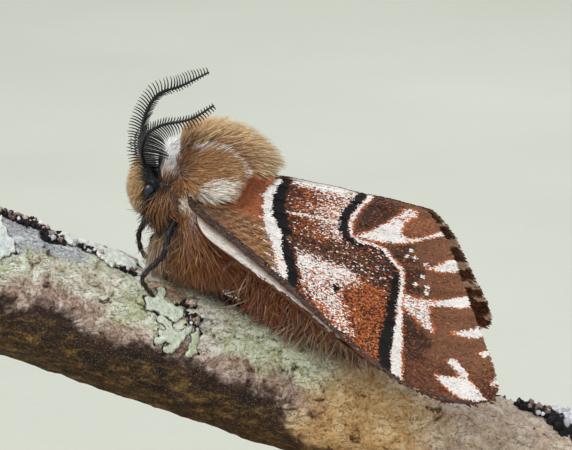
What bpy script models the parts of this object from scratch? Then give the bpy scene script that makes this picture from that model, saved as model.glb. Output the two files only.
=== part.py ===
# A kentish glory moth at rest on a cut length of branch, life size, on a plain display stand.
# The moth's head is towards -X and its left side faces -Y.
# The origin is the middle of the base's underside.

import math
import random

import bmesh
import bpy
from mathutils import Matrix, Vector

MM = 0.001  # every size below is in millimetres, and the finished meshes are in metres
GAP = 0.3  # clearance between neighbouring pieces
SIDES = {"left": -1.0, "right": 1.0}
SEED = 41
CORE_FACETS = (16, 10)  # segments and rings of the thorax
SMALL_FACETS = (12, 8)

# Branch and stand
BRANCH_SLOPE = math.radians(20.05)
BRANCH_MIDDLE = 19.8  # height of its axis over the origin
BRANCH_RADIUS = 4.9
BRANCH_TAPER = 0.0163  # radius lost for each millimetre towards the tail end
BRANCH_HALF_LENGTH = 26.0
BRANCH_SIDES = 14
BRANCH_RINGS = 12
BARK_RELIEF = 0.3
BASE_SIZE = (58.0, 36.0, 3.0)
BASE_CORNER = 5.0
BASE_EDGE = 0.5
ROD_X = 2.6
ROD_RADIUS = 1.5
ROD_SUNK = 1.6

# Body: ellipsoids and a tapering abdomen, each a core that carries its coat
THORAX_CENTRE = Vector((-5.7, 0.0, 34.9))
THORAX_RADII = (4.1, 3.3, 3.5)
BODY_PITCH = math.radians(25.0)  # the thorax lies with its front this far up
HEAD_CENTRE = Vector((-10.35, 0.0, 35.5))
HEAD_RADII = (1.05, 1.45, 1.5)
EYE_CENTRE = Vector((-10.45, 1.45, 35.45))
EYE_RADIUS = 0.68
ABDOMEN_SPINE = ((-2.4, 0.0, 31.7), (0.2, 0.0, 29.1), (2.6, 0.0, 27.1), (4.8, 0.0, 25.5), (6.6, 0.0, 24.4))
ABDOMEN_RADII = (1.9, 2.6, 2.4, 1.75, 0.9)
ABDOMEN_STATIONS = 9
COLLAR_CENTRE = Vector((-9.1, 0.0, 36.2))
COLLAR_RADII = (2.1, 2.25)
COLLAR_RAKE = 0.5
COLLAR_SPAN = math.radians(105.0)  # how far it comes down each side of the neck
COLLAR_THICKNESS = 0.5
COLLAR_TAPER = 0.25
COLLAR_STATIONS = 13
TEGULA_CENTRE = Vector((-6.2, 3.15, 36.75))
TEGULA_RADII = (2.4, 0.3, 1.6)
TEGULA_TILT = math.radians(35.0)  # its face looks this far up from level

# Wings, each laid out in a sloping plane: first number along the ridge, second down the slope
WING_ORIGIN = Vector((-0.46, 0.0, 36.6))
RIDGE_FALL = math.radians(13.9)
ROOF_SLOPE = math.radians(41.0)
WING_CAMBER = 0.9
MEMBRANE = 0.5
VEIN = 0.72
VEIN_HALF_WIDTH = 0.016  # as a share of the wing's width
RIDGE_SLOT = (60.0, GAP, 30.0)  # size of the cut that parts the left wings from the right
GROWN_ROWS = 5  # rows of the plainer, thicker wing that clears its slot in the coat
FOREWING = {
    "lift": -0.5,  # the inner face, measured from the roof's plane
    "inward": False,
    "inner": ((-6.0, 3.3), (-3.2, 1.6), (1.0, 0.73), (5.9, 0.42), (9.9, 0.2)),
    "costa": ((-6.6, 4.0), (-6.2, 5.3), (-3.1, 7.5), (3.4, 11.9), (9.4, 15.5), (13.9, 17.1), (17.0, 17.1),
              (18.95, 16.3)),
    "termen": ((9.9, 0.2), (11.2, 0.4), (12.6, 1.5), (14.8, 5.2), (16.7, 9.3), (18.5, 13.2), (19.2, 15.3),
               (18.95, 16.3)),
    "root": ((-6.0, 3.3), (-6.6, 4.0)),
    "veins": (0.1, 0.24, 0.37, 0.5, 0.62, 0.74, 0.86),
    "steps": 7,
}
HINDWING = {
    "lift": -0.8,  # the outer face, under the forewing with a gap
    "inward": True,
    "inner": ((-5.0, 3.7), (-2.4, 2.5), (2.5, 1.8), (8.6, 1.7)),
    "costa": ((-5.6, 4.4), (-5.3, 6.0), (-4.3, 7.5), (1.9, 11.4), (7.5, 14.5), (12.0, 15.6)),
    "termen": ((8.6, 1.7), (10.6, 3.6), (12.4, 7.5), (13.0, 12.0), (12.0, 15.6)),
    "root": ((-5.0, 3.7), (-5.6, 4.4)),
    "veins": (0.16, 0.34, 0.52, 0.7, 0.86),
    "steps": 5,
}

# Antennae: the route of each shaft, and its two rows of barbs, each row turned about the shaft
# from its inner side towards the moth's own left or right
ANTENNA_ROUTES = {
    "left": ((-10.45, -0.4, 36.3), (-10.7, -1.1, 37.1), (-11.0, -2.6, 38.7), (-10.5, -4.6, 40.4),
             (-9.3, -5.6, 41.3), (-7.1, -6.2, 41.9), (-5.4, -6.1, 42.9)),
    "right": ((-10.45, 0.4, 36.3), (-10.7, 1.1, 37.2), (-11.2, 2.9, 38.7), (-10.9, 4.6, 40.3),
              (-10.0, 5.8, 41.6), (-8.2, 6.3, 42.2), (-6.0, 6.2, 43.3)),
}
ANTENNA_HEART = Vector((-7.5, 0.0, 38.5))  # the inner side faces this point
COMB_TURNS = {"left": (0.0, 112.0), "right": (62.0, 176.0)}
SHAFT_RADII = (0.28, 0.2)
SHAFT_STATIONS = 14
BARB_COUNT = 12
BARB_START = 0.14
BARB_SENSE = {"left": 1.0, "right": -1.0}
BARB_LENGTHS = (0.7, 1.5, 1.8, 1.6, 1.2, 0.9, 0.6)
BARB_SIZE = (0.25, 0.2)  # half width and half depth at the root
BARB_TAPER = (1.0, 0.8, 0.0)
BARB_SLANT = 0.35  # how much a barb leans to the antenna's tip
BARB_CURL = 0.12  # and how much more its own tip does

# Legs: points from the body down, then the toes as places on the branch (x, degrees round from its top)
LEG_STATIONS = 11
LEG_SIDES = 6
LEG_RADII = (0.5, 0.42, 0.32, 0.28, 0.26, 0.24)
LEG_ROUTES = {
    "foreleg_left": (((-7.9, -1.6, 34.0), (-8.9, -3.1, 32.6), (-9.25, -3.8, 31.0), (-11.1, -4.2, 29.1)),
                     ((-10.1, 43.0),)),
    "foreleg_right": (((-8.0, 1.5, 34.0), (-10.2, 2.4, 33.4), (-11.5, 2.9, 31.2), (-11.3, 2.6, 29.8)),
                      ((-10.0, -19.0),)),
    "midleg_left": (((-5.4, -1.3, 32.4), (-6.0, -3.1, 30.9), (-5.6, -2.4, 28.9)),
                    ((-4.7, 18.0), (-3.1, 12.0))),
    "midleg_right": (((-6.2, 1.6, 32.6), (-8.6, 3.6, 31.6), (-10.5, 4.1, 30.6)),
                     ((-10.4, -40.0), (-9.0, -46.0))),
    "hindleg_left": (((-3.6, -1.3, 31.6), (-3.2, -3.3, 30.0), (-2.0, -3.2, 27.9)),
                     ((-0.6, 27.0), (1.6, 24.0))),
    "hindleg_right": (((-3.6, 1.3, 31.6), (-3.2, 3.3, 30.0), (-2.0, 3.2, 27.9)),
                      ((-0.6, -27.0), (1.6, -24.0))),
}

# Coat: flat tapered locks, each of a length, half width and half depth, with the angles in degrees
# at which it leaves its core and ends; belly, flank and back in that order for the thorax
# Long locks bend twice and short ones once: where they bend, and their width and depth there
LONG = {"sunk": 0.7, "shares": (0.0, 0.42, 0.75, 1.0), "widths": (0.8, 1.0, 0.72, 0.0)}
SHORT = {"sunk": 0.55, "shares": (0.0, 0.5, 1.0), "widths": (0.85, 1.0, 0.0)}
LOCK_VARY = 0.16  # how far lengths and angles stray, as a share
THORAX_SPOTS = 150
THORAX_LOCKS = ((4.2, 0.95, 0.26), (3.0, 0.9, 0.25), (3.1, 1.05, 0.27))
THORAX_RISES = ((75.0, 55.0), (40.0, 6.0), (68.0, 14.0))
NECK_PLACE = (-0.68, -0.55)  # no locks grow further front and higher than this on the thorax
TEGULA_MARGINS = (0.3, 1.0, 0.1)  # nor this near a tegula
WING_BAND = (-1.9, 0.6)  # nor in this height over the roof's plane, where the wings are
ABDOMEN_MARGIN = 0.3
LEG_MARGIN = 0.5
FURTHER_ON = 0.35  # the thorax's locks keep this much more off the abdomen's own
THORAX_LIES = (Vector((0.3, 0.0, -1.0)), Vector((0.6, 0.0, -0.8)), Vector((1.0, 0.0, -0.25)))
HEAD_SPOTS = 54
HEAD_LOCK = (1.1, 0.48, 0.22)
HEAD_RISE = (55.0, 25.0)
HEAD_LIES = (Vector((-0.5, 0.0, -0.9)), Vector((-1.0, 0.0, 0.2)))  # on the face and on the crown
FACE_SPLAY = 0.3
NAPE_PLACE = 0.3
EYE_MARGIN = 0.35
SHAFT_MARGIN = 0.6
COLLAR_LOCKS = 13
COLLAR_LOCK = (1.5, 0.62, 0.24)
COLLAR_RISE = (72.0, 38.0)
COLLAR_STAGGER = 0.18
TEGULA_ROWS = (3, 4, 4, 3)
TEGULA_SPAN = (0.8, -0.74)  # the rows' places along the pad, as shares of its half length
TEGULA_SPLAY = 0.25
TEGULA_LOCK = (2.1, 0.66, 0.22)
TEGULA_RISE = (42.0, 4.0)
ABDOMEN_ROWS = 4
ABDOMEN_ROUND = 8
ABDOMEN_SPAN = (0.06, 0.88)
TAIL_PLACE = 0.97
# the flank's locks hang past the wings' edges
ABDOMEN_LOCKS = {"back": (2.3, 1.0, 0.25), "flank": (4.6, 1.05, 0.26), "tail": (2.6, 0.7, 0.25)}
ABDOMEN_RISES = {"back": (34.0, 8.0), "flank": (34.0, 8.0), "tail": (20.0, 5.0)}
FLANK_LIE = Vector((0.1, 0.6, -1.0))
TAIL_LOCKS = 8

# Finishes: colour, roughness and metallic value of each kind of surface
FINISHES = {
    "fur_tan": ((0.50, 0.30, 0.14), 0.9, 0.0),
    "fur_brown": ((0.25, 0.11, 0.04), 0.9, 0.0),
    "fur_white": ((0.85, 0.80, 0.74), 0.9, 0.0),
    "wing_scales": ((0.22, 0.08, 0.04), 0.7, 0.0),
    "black_cuticle": ((0.01, 0.01, 0.015), 0.3, 0.0),
    "bark": ((0.42, 0.40, 0.28), 0.9, 0.0),
    "pale_wood": ((0.62, 0.50, 0.34), 0.5, 0.0),
    "steel": ((0.6, 0.6, 0.62), 0.3, 1.0),
}


def clear_scene():
    for item in list(bpy.data.objects):
        bpy.data.objects.remove(item, do_unlink=True)


def finish_of(name):
    material = bpy.data.materials.get(name) or bpy.data.materials.new(name)
    colour, roughness, metallic = FINISHES[name]
    material.use_nodes = True
    shader = material.node_tree.nodes["Principled BSDF"]
    shader.inputs["Base Color"].default_value = (*colour, 1.0)
    shader.inputs["Roughness"].default_value = roughness
    shader.inputs["Metallic"].default_value = metallic
    material.diffuse_color = (*colour, 1.0)
    return material


def dress(item, finish):
    item.data.materials.clear()
    item.data.materials.append(finish_of(finish))
    item.data.shade_smooth()
    item.data.set_sharp_from_angle(angle=math.radians(40.0))


def solid(name, bm, finish=None, closed=True):
    # turns a mesh being built, in millimetres, into an object in metres
    if closed:
        bmesh.ops.recalc_face_normals(bm, faces=bm.faces)
    bm.transform(Matrix.Scale(MM, 4))
    mesh = bpy.data.meshes.new(name)
    bm.to_mesh(mesh)
    bm.free()
    item = bpy.data.objects.new(name, mesh)
    bpy.context.scene.collection.objects.link(item)
    if finish:
        dress(item, finish)
    return item


def apply_modifiers(item):
    bpy.context.view_layer.update()
    graph = bpy.context.evaluated_depsgraph_get()
    before = item.data
    item.data = bpy.data.meshes.new_from_object(item.evaluated_get(graph))
    item.modifiers.clear()
    bpy.data.meshes.remove(before)


def combine(item, others, operation, solver="MANIFOLD"):
    # one Boolean with all the others, which are then removed
    group = bpy.data.collections.new("group")
    for other in others:
        group.objects.link(other)
    boolean = item.modifiers.new(operation.lower(), "BOOLEAN")
    boolean.operation = operation
    boolean.operand_type = "COLLECTION"
    boolean.collection = group
    boolean.solver = solver
    apply_modifiers(item)
    for other in others:
        bpy.data.objects.remove(other, do_unlink=True)
    bpy.data.collections.remove(group)


def islands_of(bm):
    waiting = set(bm.faces)
    while waiting:
        island = [waiting.pop()]
        for face in island:
            for edge in face.edges:
                for other in edge.link_faces:
                    if other in waiting:
                        waiting.remove(other)
                        island.append(other)
        yield island


def keep_largest(item):
    # drops every closed surface but the largest, so the node stays one body
    bm = bmesh.new()
    bm.from_mesh(item.data)
    islands = sorted(islands_of(bm), key=lambda island: sum(face.calc_area() for face in island))
    for island in islands[:-1]:
        bmesh.ops.delete(bm, geom=island, context="FACES")
    bmesh.ops.triangulate(bm, faces=bm.faces)
    bm.to_mesh(item.data)
    bm.free()


def curve_through(points):
    # a smooth curve through the points, read from 0 at its start to 1 at its end
    points = [Vector(point) for point in points]
    reach = [0.0]
    for first, second in zip(points, points[1:]):
        reach.append(reach[-1] + (second - first).length)

    def read(share):
        distance = min(max(share, 0.0), 1.0) * reach[-1]
        i = max(k for k in range(len(points) - 1) if reach[k] <= distance)
        span = reach[i + 1] - reach[i]
        s = (distance - reach[i]) / span
        chord = (points[i + 1] - points[i]) / span
        leave = (points[i + 1] - points[i - 1]) / (reach[i + 1] - reach[i - 1]) if i else chord
        last = i + 2 == len(points)
        arrive = chord if last else (points[i + 2] - points[i]) / (reach[i + 2] - reach[i])
        return (points[i] * (2 * s**3 - 3 * s**2 + 1) + leave * span * (s**3 - 2 * s**2 + s)
                + points[i + 1] * (3 * s**2 - 2 * s**3) + arrive * span * (s**3 - s**2))

    return read


def heading(curve, share):
    return (curve(share + 0.02) - curve(share - 0.02)).normalized()


def between(values, share):
    # a value along an evenly spaced list, from its first to its last
    place = min(max(share, 0.0), 1.0) * (len(values) - 1)
    i = min(int(place), len(values) - 2)
    return values[i] + (values[i + 1] - values[i]) * (place - i)


def sweep(bm, path, widths, depths, across, sides, pointed, grow=0.0):
    # a closed tapering rod along the path, its widths measured along the across direction
    path = [point.copy() for point in path]
    if grow:
        path[0] -= (path[1] - path[0]).normalized() * grow
        path[-1] += (path[-1] - path[-2]).normalized() * grow
    rings = []
    for i, centre in enumerate(path):
        if pointed and i == len(path) - 1:
            rings.append([bm.verts.new(centre)] * sides)
            continue
        forward = (path[min(i + 1, len(path) - 1)] - path[max(i - 1, 0)]).normalized()
        over = across.cross(forward).normalized()
        wide = forward.cross(over)
        ring = []
        for k in range(sides):
            turn = math.tau * k / sides
            ring.append(bm.verts.new(centre + wide * ((widths[i] + grow) * math.cos(turn))
                                     + over * ((depths[i] + grow) * math.sin(turn))))
        rings.append(ring)
    bm.faces.new(rings[0])
    if not pointed:
        bm.faces.new(rings[-1])
    for first, second in zip(rings, rings[1:]):
        for k in range(sides):
            corners = [first[k], first[(k + 1) % sides], second[(k + 1) % sides], second[k]]
            bm.faces.new(list(dict.fromkeys(corners)))


def ellipsoid(name, centre, radii, turn, grow, facets, finish=None):
    bm = bmesh.new()
    segments, rings = facets
    size = Matrix.Diagonal([radius + grow for radius in radii]).to_4x4()
    bmesh.ops.create_uvsphere(bm, u_segments=segments, v_segments=rings, radius=1.0,
                              matrix=Matrix.Translation(centre) @ turn.to_4x4() @ size)
    return solid(name, bm, finish)


def mirrored(point, side):
    return Vector((point[0], abs(point[1]) * side, point[2]))


# Branch and stand

def branch_axis(x):
    return Vector((x, 0.0, BRANCH_MIDDLE - x * math.tan(BRANCH_SLOPE)))


def branch_point(x, degrees, lift):
    # a point of height lift over the bark, turned round the branch from its top towards -Y
    turn = math.radians(degrees)
    radius = BRANCH_RADIUS - BRANCH_TAPER * x + lift
    station = x - radius * math.cos(turn) * math.sin(BRANCH_SLOPE)
    over = Vector((math.sin(BRANCH_SLOPE), 0.0, math.cos(BRANCH_SLOPE)))
    sideways = Vector((0.0, -radius * math.sin(turn), 0.0))
    return branch_axis(station) + over * (radius * math.cos(turn)) + sideways


def make_branch(name, grow=0.0, finish=None):
    chance = random.Random(SEED)
    along = Vector((math.cos(BRANCH_SLOPE), 0.0, -math.sin(BRANCH_SLOPE)))
    over = Vector((math.sin(BRANCH_SLOPE), 0.0, math.cos(BRANCH_SLOPE)))
    waves = [(chance.uniform(0.5, 1.6), chance.uniform(0.0, math.tau), k % 4) for k in range(8)]
    bm = bmesh.new()
    rings = []
    for i in range(BRANCH_RINGS + 1):
        reach = BRANCH_HALF_LENGTH * (2 * i / BRANCH_RINGS - 1)
        radius = BRANCH_RADIUS - BRANCH_TAPER * reach + grow
        ring = []
        for k in range(BRANCH_SIDES):
            turn = math.tau * k / BRANCH_SIDES
            swell = sum(math.sin(reach * pace * 0.3 + shift + turn * lobes) for pace, shift, lobes in waves)
            here = radius - BARK_RELIEF * (0.5 + swell / 10.0)
            ring.append(bm.verts.new(branch_axis(0.0) + along * reach + over * (here * math.cos(turn))
                                     + Vector((0.0, here * math.sin(turn), 0.0))))
        rings.append(ring)
    bm.faces.new(rings[0])
    bm.faces.new(rings[-1])
    for first, second in zip(rings, rings[1:]):
        for k in range(BRANCH_SIDES):
            bm.faces.new([first[k], first[(k + 1) % BRANCH_SIDES], second[(k + 1) % BRANCH_SIDES], second[k]])
    return solid(name, bm, finish)


def make_rod(name, grow=0.0, finish=None):
    bottom = BASE_SIZE[2] + GAP - grow
    under = branch_axis(ROD_X).z - BRANCH_RADIUS / math.cos(BRANCH_SLOPE)
    top = under + ROD_SUNK + grow
    radius = ROD_RADIUS + grow
    bm = bmesh.new()
    bmesh.ops.create_cone(bm, cap_ends=True, segments=24, radius1=radius, radius2=radius, depth=top - bottom,
                          matrix=Matrix.Translation((ROD_X, 0.0, (top + bottom) / 2)))
    return solid(name, bm, finish)


def make_base(name):
    bm = bmesh.new()
    bmesh.ops.create_cube(bm, size=1.0, matrix=Matrix.Translation((0.0, 0.0, BASE_SIZE[2] / 2))
                          @ Matrix.Diagonal((*BASE_SIZE, 1.0)))
    corners = [edge for edge in bm.edges if abs(edge.verts[0].co.z - edge.verts[1].co.z) > 1.0]
    bmesh.ops.bevel(bm, geom=corners, offset=BASE_CORNER, segments=5, profile=0.5, affect="EDGES")
    rim = [edge for edge in bm.edges if all(vert.co.z > BASE_SIZE[2] - 0.01 for vert in edge.verts)]
    bmesh.ops.bevel(bm, geom=rim, offset=BASE_EDGE, segments=2, profile=0.5, affect="EDGES")
    return solid(name, bm, "pale_wood")


# Wings

def wing_axes(side):
    # along the ridge, down the slope, and out of the roof
    along = Vector((math.cos(RIDGE_FALL), 0.0, -math.sin(RIDGE_FALL)))
    drop = Vector((-math.sin(RIDGE_FALL), 0.0, -math.cos(RIDGE_FALL)))
    level = Vector((0.0, side, 0.0))
    return (along, level * math.cos(ROOF_SLOPE) + drop * math.sin(ROOF_SLOPE),
            level * math.sin(ROOF_SLOPE) - drop * math.cos(ROOF_SLOPE))


def camber(a, b):
    return WING_CAMBER * max(0.0, 1.0 - ((b - 8.0) / 8.5) ** 2) * min(1.0, max(0.0, (a + 7.0) / 10.0))


def wing_point(a, b, lift, side):
    along, down, outward = wing_axes(side)
    return WING_ORIGIN + along * a + down * b + outward * (camber(a, b) + lift)


def wing_rows(veins):
    # where the membrane's rows run, and which of them are veins: three close rows over each vein
    rows = [(0.0, False)]
    for vein in veins:
        rows += [(vein - VEIN_HALF_WIDTH, False), (vein, True), (vein + VEIN_HALF_WIDTH, False)]
    return rows + [(1.0 - 2 * VEIN_HALF_WIDTH, False), (1.0, True)]


def grow_outline(bm, distance):
    shifts = {}
    for edge in bm.edges:
        if edge.is_boundary:
            face = edge.link_faces[0]
            middle = (edge.verts[0].co + edge.verts[1].co) / 2
            out = (edge.verts[1].co - edge.verts[0].co).normalized().cross(face.normal)
            out *= math.copysign(1.0, out.dot(middle - face.calc_center_median()))
            for vert in edge.verts:
                shifts[vert] = shifts.get(vert, Vector()) + out
    for vert, shift in shifts.items():
        vert.co += shift.normalized() * distance


def make_wing(name, wing, side, grow=0.0, finish=None):
    # a sheet spanned between its four margins, then given its thickness, with the veins thicker
    margins = [wing[margin] for margin in ("inner", "costa", "root", "termen")]
    inner, costa, root, termen = [curve_through([(a, b, 0.0) for a, b in margin]) for margin in margins]
    rows = [(i / GROWN_ROWS, True) for i in range(GROWN_ROWS + 1)] if grow else wing_rows(wing["veins"])
    lift = wing["lift"] + (grow if wing["inward"] else -grow)
    bm = bmesh.new()
    bmesh.ops.create_grid(bm, x_segments=wing["steps"], y_segments=len(rows) - 1, size=1.0)
    thickness = []
    for vert in bm.verts:
        u = (vert.co.x + 1) / 2
        v, on_vein = rows[round((vert.co.y + 1) / 2 * (len(rows) - 1))]
        across = inner(u).lerp(costa(u), v)
        ends = root(v).lerp(termen(v), u)
        corners = inner(0).lerp(costa(0), v).lerp(inner(1).lerp(costa(1), v), u)
        flat = across + ends - corners
        vert.co = wing_point(flat.x, flat.y, lift, side)
        thickness.append(1.0 if on_vein else MEMBRANE / VEIN)
    bm.normal_update()
    if sum(face.normal.dot(wing_axes(side)[2]) for face in bm.faces) < 0:
        bmesh.ops.reverse_faces(bm, faces=bm.faces)
        bm.normal_update()
    if grow:
        grow_outline(bm, grow)
    bmesh.ops.triangulate(bm, faces=bm.faces)
    item = solid(name, bm, None, False)
    group = item.vertex_groups.new(name="thickness")
    for index, share in enumerate(thickness):
        group.add([index], share, "REPLACE")
    solidify = item.modifiers.new("thickness", "SOLIDIFY")
    solidify.thickness = (VEIN + 2 * grow) * MM
    solidify.offset = -1.0 if wing["inward"] else 1.0
    solidify.vertex_group = "thickness"
    apply_modifiers(item)
    if not grow:
        combine(item, [middle_slot()], "DIFFERENCE")
        keep_largest(item)
        dress(item, finish)
    return item


def middle_slot():
    # the thin upright cut that parts the left wings from the right along the ridge
    bm = bmesh.new()
    size = Matrix.Diagonal((*RIDGE_SLOT, 1.0))
    bmesh.ops.create_cube(bm, size=1.0, matrix=Matrix.Translation(WING_ORIGIN) @ size)
    return solid("slot", bm)


# Legs, eyes and antennae

def leg_path(route):
    body_points, toes = route
    lift = GAP + LEG_RADII[-1] + 0.05
    points = [Vector(point) for point in body_points] + [branch_point(x, turn, lift) for x, turn in toes]
    curve = curve_through(points)
    shares = [i / (LEG_STATIONS - 1) for i in range(LEG_STATIONS)]
    return [curve(share) for share in shares], [between(LEG_RADII, share) for share in shares]


def make_leg(name, route, grow=0.0, finish=None):
    path, radii = leg_path(route)
    bm = bmesh.new()
    sweep(bm, path, radii, radii, Vector((1.0, 0.15, 0.1)), LEG_SIDES, False, grow)
    return solid(name, bm, finish)


def make_eye(name, side, grow=0.0, finish=None):
    centre = mirrored(EYE_CENTRE, side)
    return ellipsoid(name, centre, (EYE_RADIUS,) * 3, Matrix.Identity(3), grow, SMALL_FACETS, finish)


def antenna_pieces(word, grow=0.0):
    # the shaft and its two rows of barbs
    curve = curve_through(ANTENNA_ROUTES[word])
    shares = [i / (SHAFT_STATIONS - 1) for i in range(SHAFT_STATIONS)]
    radii = [between(SHAFT_RADII, share) for share in shares]
    bm = bmesh.new()
    sweep(bm, [curve(share) for share in shares], radii, radii, Vector((0.3, 1.0, 0.2)), 6, False, grow)
    pieces = [solid("shaft", bm)]
    for i in range(BARB_COUNT):
        share = BARB_START + (1.0 - BARB_START) * (i + 0.5) / BARB_COUNT
        root = curve(share)
        tangent = heading(curve, share)
        inner = ANTENNA_HEART - root
        inner.y = 0.0
        inner = (inner - tangent * inner.dot(tangent)).normalized()
        for degrees in COMB_TURNS[word]:
            turn = Matrix.Rotation(math.radians(degrees) * BARB_SENSE[word], 3, tangent)
            out = ((turn @ inner) + tangent * BARB_SLANT).normalized()
            length = between(BARB_LENGTHS, share)
            path = [root, root + out * (length * 0.55), root + (out + tangent * BARB_CURL) * length]
            widths, depths = [[size * share for share in BARB_TAPER] for size in BARB_SIZE]
            bm = bmesh.new()
            sweep(bm, path, widths, depths, tangent, 4, True, grow)
            pieces.append(solid("barb", bm))
    return pieces


# Body cores

def body_turn():
    # the turn that pitches the thorax's front up
    return Matrix.Rotation(BODY_PITCH, 3, "Y")


def abdomen_path():
    curve = curve_through(ABDOMEN_SPINE)
    shares = [i / (ABDOMEN_STATIONS - 1) for i in range(ABDOMEN_STATIONS)]
    return [curve(share) for share in shares], [between(ABDOMEN_RADII, share) for share in shares]


def collar_point(turn, lift):
    # a place round the neck, turned from its top, and the direction out of the collar there
    out = Vector((0.0, math.sin(turn), math.cos(turn)))
    ring = Vector((COLLAR_RAKE * out.z, COLLAR_RADII[0] * out.y, COLLAR_RADII[1] * out.z))
    return COLLAR_CENTRE + ring + out * lift, out


def tegula_turn(side):
    return Matrix.Rotation(side * TEGULA_TILT, 3, "X") @ body_turn()


def thorax_core(grow):
    return ellipsoid("thorax", THORAX_CENTRE, THORAX_RADII, body_turn(), grow, CORE_FACETS)


def head_core(grow):
    return ellipsoid("head", HEAD_CENTRE, HEAD_RADII, Matrix.Identity(3), grow, SMALL_FACETS)


def tegula_core(side, grow):
    centre = mirrored(TEGULA_CENTRE, side)
    return ellipsoid("tegula", centre, TEGULA_RADII, tegula_turn(side), grow, SMALL_FACETS)


def abdomen_core(grow):
    path, radii = abdomen_path()
    bm = bmesh.new()
    sweep(bm, path, radii, radii, Vector((0.0, 1.0, 0.0)), 14, False, grow)
    return solid("abdomen", bm)


def collar_core(grow):
    turns = [COLLAR_SPAN * (2 * i / (COLLAR_STATIONS - 1) - 1) for i in range(COLLAR_STATIONS)]
    thick = [COLLAR_THICKNESS * (1.0 - COLLAR_TAPER * abs(turn) / COLLAR_SPAN) for turn in turns]
    path = [collar_point(turn, 0.0)[0] for turn in turns]
    bm = bmesh.new()
    sweep(bm, path, thick, thick, Vector((1.0, 0.0, 0.0)), LEG_SIDES, False, grow)
    return solid("collar", bm)


# Locks, and what bends them clear of their neighbours

def spread(count):
    # directions spread evenly over a ball
    for i in range(count):
        z = 1.0 - (2 * i + 1) / count
        turn = i * math.pi * (3.0 - math.sqrt(5.0))
        level = math.sqrt(1.0 - z * z)
        yield Vector((level * math.cos(turn), level * math.sin(turn), z))


def on_ellipsoid(spot, centre, radii, turn):
    place = Vector([spot[k] * radii[k] for k in range(3)])
    normal = Vector([spot[k] / radii[k] for k in range(3)])
    return centre + turn @ place, (turn @ normal).normalized()


def margin_height(margin, a):
    for (a0, b0), (a1, b1) in zip(margin, margin[1:]):
        if a0 <= a <= a1:
            return b0 + (b1 - b0) * (a - a0) / (a1 - a0)
    return None


def roof_place(point):
    # where a point lies in the plane of the wings on its side, its height over them, and the way out
    along, down, outward = wing_axes(math.copysign(1.0, point.y))
    offset = point - WING_ORIGIN
    a, b = offset.dot(along), offset.dot(down)
    low, high = margin_height(FOREWING["inner"], a), margin_height(FOREWING["costa"], a)
    inside = high is not None and (0.0 if low is None else low) - 0.8 < b < high + 0.8
    return inside, offset.dot(outward) - camber(a, b), outward


def clear_of_wings(point, margin, over):
    inside, height, outward = roof_place(point)
    top = FOREWING["lift"] + VEIN + GAP + margin
    bottom = HINDWING["lift"] - VEIN - GAP - margin
    if inside and over and height < top:
        return point + outward * (top - height)
    if inside and not over and height > bottom:
        return point - outward * (height - bottom)
    return point


def pushed_off(point, centre, distance):
    away = point - centre
    return point if away.length >= distance else centre + away.normalized() * distance


def clear_of_branch(point, margin):
    along = Vector((math.cos(BRANCH_SLOPE), 0.0, -math.sin(BRANCH_SLOPE)))
    start = branch_axis(0.0)
    reach = (point - start).dot(along)
    radius = BRANCH_RADIUS - BRANCH_TAPER * reach
    return pushed_off(point, start + along * reach, radius + GAP + margin)


def nearest(point, path, radii):
    return min(zip(path, radii), key=lambda pair: (pair[0] - point).length - pair[1])


def clear_of_tube(point, path, radii, margin):
    centre, radius = nearest(point, path, radii)
    return pushed_off(point, centre, radius + GAP + margin)


def clear_of_legs(legs):
    return [lambda point, margin, leg=leg: clear_of_tube(point, *leg, margin) for leg in legs]


def near_tube(point, path, radii, margin):
    centre, radius = nearest(point, path, radii)
    return (centre - point).length < radius + margin


def lock(kind, root, normal, lie, size, rises, clearances=(), grow=0.0):
    # a flat lock that leaves its core at the first angle and has bent to the second by its tip
    length, half_width, half_depth = size
    flat = (lie - normal * lie.dot(normal)).normalized()
    first, last = [math.radians(angle) for angle in rises]
    start = flat * math.cos(first) + normal * math.sin(first)
    path = [root - start * kind["sunk"]]
    point = root.copy()
    for begin, end in zip(kind["shares"], kind["shares"][1:]):
        angle = first + (last - first) * (begin + end) / 2
        point = point + (flat * math.cos(angle) + normal * math.sin(angle)) * (length * (end - begin))
        for clearance in clearances:
            point = clearance(point, half_depth)
        path.append(point)
    bm = bmesh.new()
    widths = [half_width * share for share in kind["widths"]]
    depths = [half_depth * math.sqrt(share) for share in kind["widths"]]
    sweep(bm, path, widths, depths, normal.cross(flat), 4, True, grow)
    return solid("lock", bm)


def strayed(chance, size, rises):
    # one lock's own size and angles
    length = size[0] * (1.0 + chance.uniform(-LOCK_VARY, LOCK_VARY))
    wide = size[1] * (1.0 + chance.uniform(-LOCK_VARY, LOCK_VARY) / 2)
    turn = 1.0 + chance.uniform(-LOCK_VARY, LOCK_VARY)
    return (length, wide, size[2]), [angle * turn for angle in rises]


def covered_thorax(spot, root, legs):
    # places on the thorax where no lock grows, under the head, collar, tegulae and wings and at the legs
    if spot.x < NECK_PLACE[0] and spot.z > NECK_PLACE[1]:
        return True
    side = math.copysign(1.0, root.y)
    place = tegula_turn(side).transposed() @ (root - mirrored(TEGULA_CENTRE, side))
    reach = [place[k] / (TEGULA_RADII[k] + TEGULA_MARGINS[k]) for k in range(3)]
    if Vector((reach[0], reach[2])).length < 1.0 and abs(reach[1]) < 1.0:
        return True
    inside, height, _ = roof_place(root)
    if inside and WING_BAND[0] < height < WING_BAND[1]:
        return True
    tubes = [(*abdomen_path(), ABDOMEN_MARGIN)] + [(*leg, LEG_MARGIN) for leg in legs]
    return any(near_tube(root, *tube) for tube in tubes)


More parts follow.
